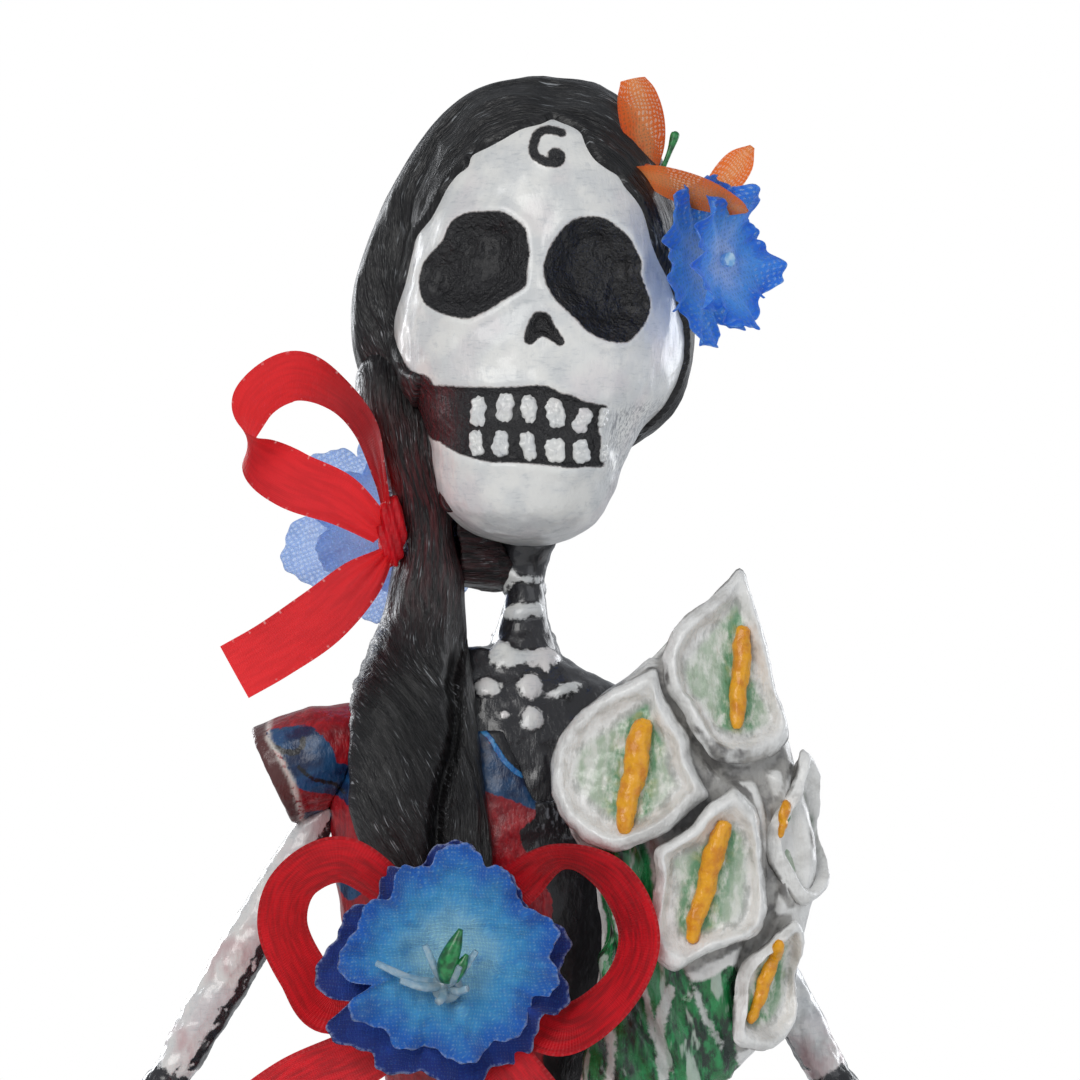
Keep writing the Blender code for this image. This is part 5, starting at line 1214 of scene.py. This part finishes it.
# Each row: its place, the direction of the width there, and the width
RIBBONS = {
    "bow_loop_right": ((-14, -28.0, 52.5, 0.2, -0.3, 1, 4.5), (-20, -30.8, 60, 0.4, -0.5, 0.8, 8),
        (-28.5, -32.5, 65.6, 0.05, -0.6, 0.8, RIBBON), (-36.4, -31.0, 62.0, -0.5, -0.65, 0.5, RIBBON),
        (-38.9, -28.0, 54.5, -0.8, -0.6, 0, RIBBON), (-35.6, -27.0, 46.4, -0.66, -0.6, -0.4, RIBBON),
        (-29.5, -27.0, 39.5, -0.6, -0.5, -0.6, 9), (-14, -27.2, 46, -0.3, -0.1, -0.95, 4)),
    "bow_loop_left": ((-7.6, -28.0, 52.5, -0.2, -0.3, 1, 4.5), (-1, -31, 59.5, -0.4, -0.3, 0.8, 8),
        (8, -33.5, 66.2, -0.1, -0.86, 0.5, RIBBON), (17.3, -35.2, 62.6, 0.42, -0.76, 0.48, RIBBON),
        (21.8, -36.6, 53, 0.68, -0.73, 0, RIBBON), (18.4, -36.8, 43.5, 0.5, -0.76, -0.42, RIBBON),
        (9.5, -34.5, 37.0, 0.1, -0.62, -0.78, RIBBON), (0.5, -30.5, 41, -0.3, -0.1, -0.9, 8),
        (-7.8, -27.2, 47, -0.3, 0, -0.9, 4)),
    "bow_tail_right": ((-12.5, -28.5, 45.5, -0.8, -0.1, 0.6, 3.5), (-17, -30.5, 38, -0.7, -0.1, 0.7, 8),
        (-26, -32.0, 32, -0.35, -0.1, 0.93, RIBBON), (-37, -33, 27, -0.5, 0, 0.85, RIBBON),
        (-47, -33, 19, -0.7, 0, 0.7, RIBBON), (-55, -32, 9, -0.78, 0, 0.62, RIBBON)),
    "bow_tail_left": ((-9.2, -29.0, 46, 0.8, 0, 0.5, 4), (-5, -33.0, 37, 0.8, 0, 0.5, 8),
        (1, -36.5, 29, 0.85, 0, 0.45, RIBBON), (7, -39, 21, 0.9, 0, 0.4, RIBBON),
        (11.5, -40, 10, 0.97, 0, 0.2, RIBBON), (12, -40, -3, 1, 0, 0, RIBBON)),
    "hair_ribbon_loop": ((-21.2, -9.5, 125.5, 0.3, -1, 0, 3.5), (-22.3, -9.2, 131, 0.3, -1, 0, 7),
        (-25, -8.0, 139.5, 0.4, -0.9, 0.2, RIBBON), (-30.5, -7.5, 145.5, 0.2, -0.8, 0.6, RIBBON),
        (-38, -8.5, 148.3, -0.1, -0.6, 0.9, RIBBON), (-44.8, -10.5, 143.5, -0.5, -0.7, 0.5, RIBBON),
        (-45, -13, 135.5, 0, -0.6, 0.8, RIBBON), (-38, -14, 130.5, 0.2, -0.1, 1, RIBBON),
        (-29.5, -13.2, 127, 0.3, 0, 1, 9), (-22.2, -10.6, 121.5, 0.3, 0, 1, 5)),
    "hair_ribbon_tail": ((-21.6, -10.8, 117.5, -0.6, 0, 0.8, 3), (-26, -12, 113, -0.6, 0, 0.8, 8),
        (-33, -12.2, 106.5, -0.5, 0, 0.86, RIBBON), (-41, -11.5, 101, -0.4, 0, 0.92, RIBBON),
        (-48, -10.5, 97, -0.23, 0, 0.97, RIBBON)),
}


def strip(rows, steps, across_cuts, gather=0.5, seed=0.0):
    """A bmesh strip along rows, its flat-cut places in millimetres, and its length."""
    rows = spline(rows, round(steps * FINE))
    count = len(rows)
    bm = bmesh.new()
    bmesh.ops.create_grid(bm, x_segments=across_cuts, y_segments=count - 1, size=1)
    grid = unit_places(bm)
    side = grid[:, 0]
    step = np.rint((grid[:, 1] + 1) / 2 * (count - 1)).astype(int)
    ahead = np.gradient(rows[:, :3], axis=0)
    ahead /= np.linalg.norm(ahead, axis=1)[:, None]
    lengths = np.concatenate([[0], np.cumsum(np.linalg.norm(np.diff(rows[:, :3], axis=0), axis=1))])
    wide = rows[:, 3:6] - ahead * np.sum(rows[:, 3:6] * ahead, axis=1)[:, None]
    wide /= np.linalg.norm(wide, axis=1)[:, None]
    face = np.cross(ahead, wide)
    narrow = np.clip(1 - rows[:, 6] / RIBBON, 0, 1)
    tucks = np.cos(side * 7.5 + seed) * gather * 1.8 * narrow[step]
    along = lengths[step]
    curl = 0.35 * (side ** 2) * np.sin(along / 9 + seed) + 0.14 * np.sin(along / 4.1 + side * 1.7 + seed)
    places = rows[step, :3] + wide[step] * (side * rows[step, 6] / 2)[:, None] + face[step] * (tucks + curl)[:, None]
    put(bm, places)
    bmesh.ops.recalc_face_normals(bm, faces=bm.faces)
    return bm, np.stack([along, side * RIBBON / 2], axis=1), lengths[-1]


def make_ribbons():
    satin = satin_finish("red satin", ink(232, 4, 30), ink(160, 0, 18), 0.24)
    # the hair ribbon's copy of the red satin: its lighter reds and selvedge glints are painted light from behind
    backlit = satin_finish("red satin in the light", ink(244, 30, 44), ink(196, 6, 28), 0.62, glints=0.8)
    for number, (node, rows) in enumerate(RIBBONS.items()):
        bm, cut, length = strip(rows, 16, 30, seed=number)
        piece = new_piece(node.replace("_", " ") + " satin", bm, node, slot="satin",
                          finish=backlit if node.startswith("hair") else satin)
        store_uv(piece, cut)
    for node in ("bow_knot", "hair_ribbon_knot"):
        knot = new_piece(node.replace("_", " ") + " satin", moulded((node,), 0.25, 3), node, slot="satin",
                         finish=satin)
        places, out = points(knot), normals(knot)
        pleats = np.cos(places[:, 0] * 4.2 + places[:, 2] * 1.1) * 0.22
        move_to(knot, places + out * pleats[:, None])
        store_uv(knot, np.stack([places[:, 2] * 1.5, (places[:, 0] - places[:, 0].mean()) * 0.6], axis=1))


# ---------------------------------------------------------------- cloth flowers

CHEST_OUTLINE = ((-14.6, 65), (-13.4, 67.6), (-10.3, 68.8), (-7.7, 68.9), (-5.2, 67), (-4, 64.6),
    (-1.7, 64.6), (0.3, 63.3), (1.7, 60.7), (3.4, 57.2), (6.9, 55.5), (9.5, 53.8),
    (10.5, 51.2), (8.6, 47.6), (10, 44.3), (10, 41.8), (7.7, 39.5), (5.7, 40), (4.3, 35.7),
    (3.4, 33.2), (0.9, 31.4), (-2.6, 31.1), (-5.2, 28), (-7.7, 27.1), (-11.2, 28),
    (-14.6, 30.2), (-18.9, 29.7), (-22.4, 30.6), (-23.2, 33.2), (-28.4, 34.9), (-30.1, 35.7),
    (-30.8, 38.3), (-28.4, 40.9), (-26.1, 41.8), (-30.1, 42.6), (-31.8, 43.5), (-33, 46.1),
    (-31.8, 49.5), (-29.2, 52.9), (-28.4, 55.5), (-26.7, 58.1), (-22.7, 58.6), (-22, 61.9),
    (-20.6, 64.6), (-17.2, 64.6))


def way(direction, spin=0.0):
    """The three axes of a disc that lies flat, facing +Z, once it faces the direction."""
    turned = Vector(direction).normalized().to_track_quat("Z", "Y").to_matrix()
    return np.array(turned @ Matrix.Rotation(spin, 3, "Z"))


def petals(name, node, centre, turn, radius, lobes, cup, finish, slot, phase=0.0, ruffle=1.2, outline=None,
           seed=0.0):
    """One layer of a cloth flower, resting on the node under it: a lobed disc, cupped, ruffled and crumpled."""
    bm, down, out, angle = disc(264)
    lobe = np.abs(np.cos(lobes * (angle + phase) / 2)) ** 0.7
    if outline:
        full = outline_reach(outline, centre, turn[:, 0], turn[:, 1], angle)
    else:
        uneven = 1 + 0.05 * np.sin(3 * angle + seed) + 0.018 * np.sin(17 * angle + seed)
        full = radius * (1 - 0.3 * (1 - lobe)) * uneven
    edge = full * (1 + 0.010 * np.sin(41 * angle + seed * 3) * out ** 4)
    reach = radius * out * 0.8 * (1 - out) + edge * out * (0.2 + 0.8 * out)
    wave = np.cos(lobes * (angle + phase)) * 0.7 + 0.5 * np.sin(lobes * 2 * angle + seed + 2 * out)
    folds = ruffle * out ** 2.2 * wave
    flute = 0.35 * ruffle * out ** 5 * np.sin(lobes * 4 * angle + seed * 2)
    lift = cup * out ** 1.5 + folds + flute
    flat = np.stack([reach * np.cos(angle), reach * np.sin(angle), lift], axis=1)
    crumple = lumps(flat * np.array((1, 1, 0)), 6.0, seed + 20, 3) * 0.6 * ruffle * ease(out, 0.1, 0.5)
    flat[:, 2] += crumple + np.where(down < 1, 0.14, -0.14) * (np.abs(down - 1) > 1e-4)
    put(bm, np.array(centre) + flat @ turn.T)
    piece = new_piece(name, bm, node, slot=slot, finish=finish)
    store(piece, "out", out)
    store_uv(piece, flat[:, :2])


def make_flowers():
    deep = cloth_finish("deep blue cloth", ink(52, 116, 206), ink(22, 76, 178), ink(16, 44, 126), 0.14,
                        ink(40, 110, 230))
    blue = cloth_finish("blue cloth", ink(172, 226, 238), ink(74, 168, 220), ink(24, 100, 196), 0.20,
                        ink(100, 190, 240))
    hair_blue = cloth_finish("hair flower cloth", ink(226, 242, 255), ink(110, 190, 252), ink(28, 106, 232), 0.5,
                             ink(150, 215, 255), 0.9, 0.5)
    net = cloth_finish("backlit netting", ink(240, 246, 255), ink(200, 222, 252), ink(132, 176, 242), 0.6,
                       ink(222, 236, 255), 0.8, 0.6)
    dark_slot, light_slot = "dark_blue_cloth", "blue_cloth"
    centre = np.array((CHEST_HEART[0], -35.5, CHEST_HEART[1]))
    turn = way((0.04, -1, 0.08))
    outward = turn[:, 2]
    petals("chest flower back petals", "chest_flower_outer", centre - outward * 0.4, turn, 20.5, 6, 1.2,
           deep, dark_slot, phase=0.5, outline=CHEST_OUTLINE, seed=1, ruffle=2.0)
    front_edge = [(-9.9 + (x - centre[0]) * 0.86, 51.2 + (z - centre[2]) * 0.88) for x, z in CHEST_OUTLINE]
    petals("chest flower front petals", "chest_flower_inner",
           centre + outward * 2.6 + np.array((0.8, 0, 0.8)), turn, 18.6, 5, 2.8, blue, light_slot, phase=0.2,
           outline=front_edge, seed=2, ruffle=2.6)
    centre = HEAD + HEAD_TURN @ np.array((28.5, -14, 12))
    turn = way((0.82, -0.56, 0.06), 0.3)
    petals("hair flower back petals", "hair_flower_outer", centre - np.array((1.8, 0, 0)), turn, 15.4, 6,
           2.0, hair_blue, dark_slot, seed=3, ruffle=1.7)
    petals("hair flower front petals", "hair_flower_inner",
           centre - np.array((2.2, 0, 0)) + turn[:, 2] * 4.6, turn, 13.0, 5, 3.0, hair_blue, light_slot, phase=0.4,
           seed=4, ruffle=1.8)
    centre = np.array((-22.5, 13.0, 123.0))
    turn = way((-0.15, -1, 0.05), 0.4)
    petals("nape flower back petals", "nape_flower_outer", centre, turn, 18.5, 6, 1.0, net, light_slot,
           seed=5, ruffle=1.0)
    petals("nape flower front petals", "nape_flower_inner", centre + turn[:, 2] * 2.2, turn,
           13.4, 5, 1.6, net, dark_slot, phase=0.3, seed=6, ruffle=1.1)
    make_stamens()
    make_orange_flower()


# (x, y, z, radius) at the tips of the stamens and along the two leaves
STAMEN_TIPS = ((-22.36, -43.5, 49.16, 0.8), (-14.1, -44.5, 52.25, 0.8), (-8.26, -46, 48.81, 0.75),
               (-5.5, -44, 51.22, 0.75), (-18.23, -45, 46.4, 0.8), (-6.88, -45, 45.03, 0.8),
               (-12.04, -44.5, 42.62, 0.85))
STAMEN_ROOT = np.array((-10.49, -39.5, 45.03))
HEART_LEAVES = (
    ((-10.49, -43.4, 46.4, 1.3), (-10.32, -45.0, 49.16, 1.7), (-9.12, -45.6, 52.25, 1.3), (-8.08, -46, 55, 0.4)),
    ((-9.29, -43.6, 46.4, 0.9), (-8.08, -44.8, 48.64, 1.1), (-7.05, -45.2, 50.7, 0.35)))


def make_stamens():
    clear = plastic_finish("pale blue plastic", ink(168, 206, 226), ink(214, 234, 242), 0.12, Coat_Weight=0.5,
                           Transmission_Weight=0.55)
    green = plastic_finish("green plastic", ink(16, 84, 44), ink(40, 140, 76), 0.3, Coat_Weight=0.3)
    paths = []
    for *tip, radius in STAMEN_TIPS:
        tip = np.array(tip)
        mid = (STAMEN_ROOT + tip) / 2 + np.array((0, -1.6, -0.6))
        paths.append([(*STAMEN_ROOT, 1.1), (*mid, radius * 0.9), (*(tip * 0.9 + mid * 0.1), radius * 0.75),
                      (*tip, radius * 0.45)])
    eye = [(*(STAMEN_ROOT + np.array(step)), radius)
           for *step, radius in ((0, 3, 1, 1.5), (0, -0.8, 0, 2.7), (0, -2.6, 0, 2.6))]
    paths.append([(CHEST_HEART[0], -29.5, CHEST_HEART[1], 1.1)] + eye)
    for name, node, slot, finish, rows in (
            ("stamen crown", "chest_flower_stamens", "stamen_plastic", clear, paths),
            ("pistil leaf", "chest_flower_leaf", "green_plastic", green, HEART_LEAVES)):
        new_piece(name, join([tube(path, 20, 8) for path in rows]), node, slot=slot, finish=finish)


PETAL_SPACING = 20             # between the petals on the cloth's flat cut
# Each row: its place, the direction of the width there, and the width
ORANGE_PETALS = (
    ((23.9, -12, 183.6, 1, 0.5, 0.2, 3.4), (23.6, -12, 188, 1, 0.5, 0.2, 7.2), (23.0, -11.2, 193, 1, 0.5, 0.3, 8.6),
     (22.2, -10.2, 197.5, 1, 0.5, 0.5, 7.4), (21.4, -9.6, 200.3, 1, 0.5, 0.7, 4.6)),
    ((22.0, -14.6, 183.6, 0.3, -0.75, 0.6, 3.0), (27, -17, 182.0, 0.3, -0.75, 0.6, 6.6),
     (33, -17.8, 179.8, 0.3, -0.75, 0.6, 7.6), (38.4, -17, 177.6, 0.3, -0.75, 0.6, 5),
     (41, -16.2, 176.6, 0.3, -0.75, 0.6, 1)),
    ((34.5, -9.5, 178.5, 0.7, -0.3, -0.6, 3), (37, -8.7, 182, 0.7, -0.3, -0.6, 6),
     (40, -8, 186, 0.7, -0.3, -0.6, 5.4), (42.2, -7.4, 188.6, 0.7, -0.3, -0.6, 1)))
# x, y, z and radius along the heart and the stamen
ORANGE_HEART = ((21.6, -11.8, 182.4, 0.6), (22.6, -12.2, 183.0, 1.5), (23.8, -12.8, 183.4, 1.9),
                (24.8, -13.3, 183.5, 1.2), (25.4, -13.6, 183.5, 0.3))
ORANGE_STAMEN = ((25.2, -12.6, 181.5, 0.5), (27.5, -11, 187, 0.45), (28.6, -10.5, 190.3, 0.8),
                 (28.8, -10.4, 191, 0.3))


def make_orange_flower():
    cloth = cloth_finish("orange cloth", ink(255, 168, 110), ink(255, 106, 38), ink(255, 78, 16), 0.5,
                         ink(255, 150, 70), 0.8, 0.3)
    strips = [strip(rows, 14, 24, gather=0.0, seed=number) for number, rows in enumerate(ORANGE_PETALS)]
    bm = join([part for part, _, _ in strips])
    cut = np.concatenate([cut + np.array((0, number * PETAL_SPACING)) for number, (_, cut, _) in enumerate(strips)])
    piece = new_piece("orange petals", bm, "orange_petal_top", "orange_petal_side", "orange_petal_far",
                      slot="orange_cloth", finish=cloth)
    store_uv(piece, cut)
    half = PETAL_SPACING / 2
    store(piece, "out", np.clip(np.abs((cut[:, 1] + half) % PETAL_SPACING - half) / (RIBBON / 2), 0, 1) * 0.9)
    heart = new_piece("orange heart", tube(ORANGE_HEART, 40, 6), "orange_flower_heart", slot="orange_cloth",
                      finish=cloth)
    store_uv(heart, points(heart)[:, [0, 2]])
    store(heart, "out", np.full(len(heart.data.vertices), 0.5))
    green = plastic_finish("green stem", ink(16, 84, 44), ink(50, 140, 76), 0.35)
    new_piece("orange stamen", tube(ORANGE_STAMEN, 16, 8), "orange_flower_stamen", slot="green_plastic",
              finish=green)


# ---------------------------------------------------------------- room, light and camera

EYE_HEIGHT = 0.42              # metres, as are the next two
VIEW_DISTANCE = 0.9
VIEW_WIDTH = 0.18576           # how wide a strip the camera sees at that distance


def area_light(name, place, target, size, watts, colour=(1, 1, 1)):
    light = bpy.data.lights.new(name, "AREA")
    light.size = size
    light.energy = watts
    light.color = colour
    lamp = bpy.data.objects.new(name, light)
    lamp.location = place
    lamp.rotation_euler = (Vector(target) - Vector(place)).to_track_quat("-Z", "Y").to_euler()
    bpy.context.scene.collection.objects.link(lamp)


def make_room():
    floor_paint = Finish("pale floor", Base_Color=(0.86, 0.86, 0.85, 1), Roughness=0.8).material
    bm = bmesh.new()
    bmesh.ops.create_circle(bm, cap_ends=True, segments=96, radius=0.9)
    mesh = bpy.data.meshes.new("floor")
    bm.to_mesh(mesh)
    bm.free()
    mesh.materials.append(floor_paint)
    floor = bpy.data.objects.new("floor", mesh)
    bpy.context.scene.collection.objects.link(floor)
    world = bpy.data.worlds.new("daylight")
    world.use_nodes = True
    bpy.context.scene.world = world
    tree = world.node_tree
    plain = tree.nodes["Background"]
    plain.inputs["Color"].default_value = (0.86, 0.90, 0.96, 1)
    plain.inputs["Strength"].default_value = 0.42
    seen = tree.nodes.new("ShaderNodeBackground")
    seen.inputs["Color"].default_value = (1, 1, 1, 1)
    seen.inputs["Strength"].default_value = 1.0
    path = tree.nodes.new("ShaderNodeLightPath")
    mixed = tree.nodes.new("ShaderNodeMixShader")
    tree.links.new(path.outputs["Is Camera Ray"], mixed.inputs[0])
    tree.links.new(plain.outputs[0], mixed.inputs[1])
    tree.links.new(seen.outputs[0], mixed.inputs[2])
    tree.links.new(mixed.outputs[0], tree.nodes["World Output"].inputs["Surface"])
    head = Vector((0, 0, EYE_HEIGHT))
    area_light("front window", (-0.45, -0.95, 0.95), head, 0.7, 6.0, (1, 0.99, 0.97))
    area_light("fill", (0.75, -0.8, 0.45), head, 0.8, 1.7, (0.93, 0.96, 1))
    area_light("left rim", (-0.6, 0.75, 0.6), head, 0.4, 3.6, (0.95, 0.97, 1))
    area_light("right rim", (0.75, 0.6, 0.6), head, 0.6, 4.0, (0.95, 0.97, 1))
    camera = bpy.data.cameras.new("camera")
    camera.sensor_width = 36
    camera.lens = camera.sensor_width * VIEW_DISTANCE / VIEW_WIDTH
    camera.clip_start = 0.05
    eye = bpy.data.objects.new("camera", camera)
    eye.location = (0.00516, -0.92, EYE_HEIGHT)
    eye.rotation_euler = (math.radians(90), 0, 0)
    bpy.context.scene.collection.objects.link(eye)
    bpy.context.scene.camera = eye
    bpy.context.scene.view_settings.view_transform = "Standard"


# ---------------------------------------------------------------- the whole figure

def main():
    skull = make_skull()
    make_teeth(skull)
    hair = combed_finish()
    make_cap(skull, hair)
    make_ponytail(hair)
    make_neck()
    make_blouse(dress_finish())
    make_arms()
    make_skirt()
    make_sash(black_paste())
    lily = lily_finish()
    make_bunch(lily)
    make_callas(lily)
    make_ribbons()
    make_flowers()
    plain = {"base_board": card_finish(), "support_dowel": wood_finish(), "spine_wire": wire_finish(),
             "nape_flower_pin": plastic_finish("pin plastic", ink(16, 84, 44), ink(40, 130, 70), 0.35)}
    plain["hair_flower_stem"] = plastic_finish("flower eye", ink(120, 180, 236), ink(190, 224, 250), 0.5)
    for node, finish in plain.items():
        carried = bpy.data.objects[node]
        carried.data.materials.clear()
        carried.data.materials.append(finish)
    edge = bpy.data.objects["base_board"].modifiers.new("Worn edge", "BEVEL")
    edge.width = 0.8 * MM
    edge.segments = 3
    make_room()


main()
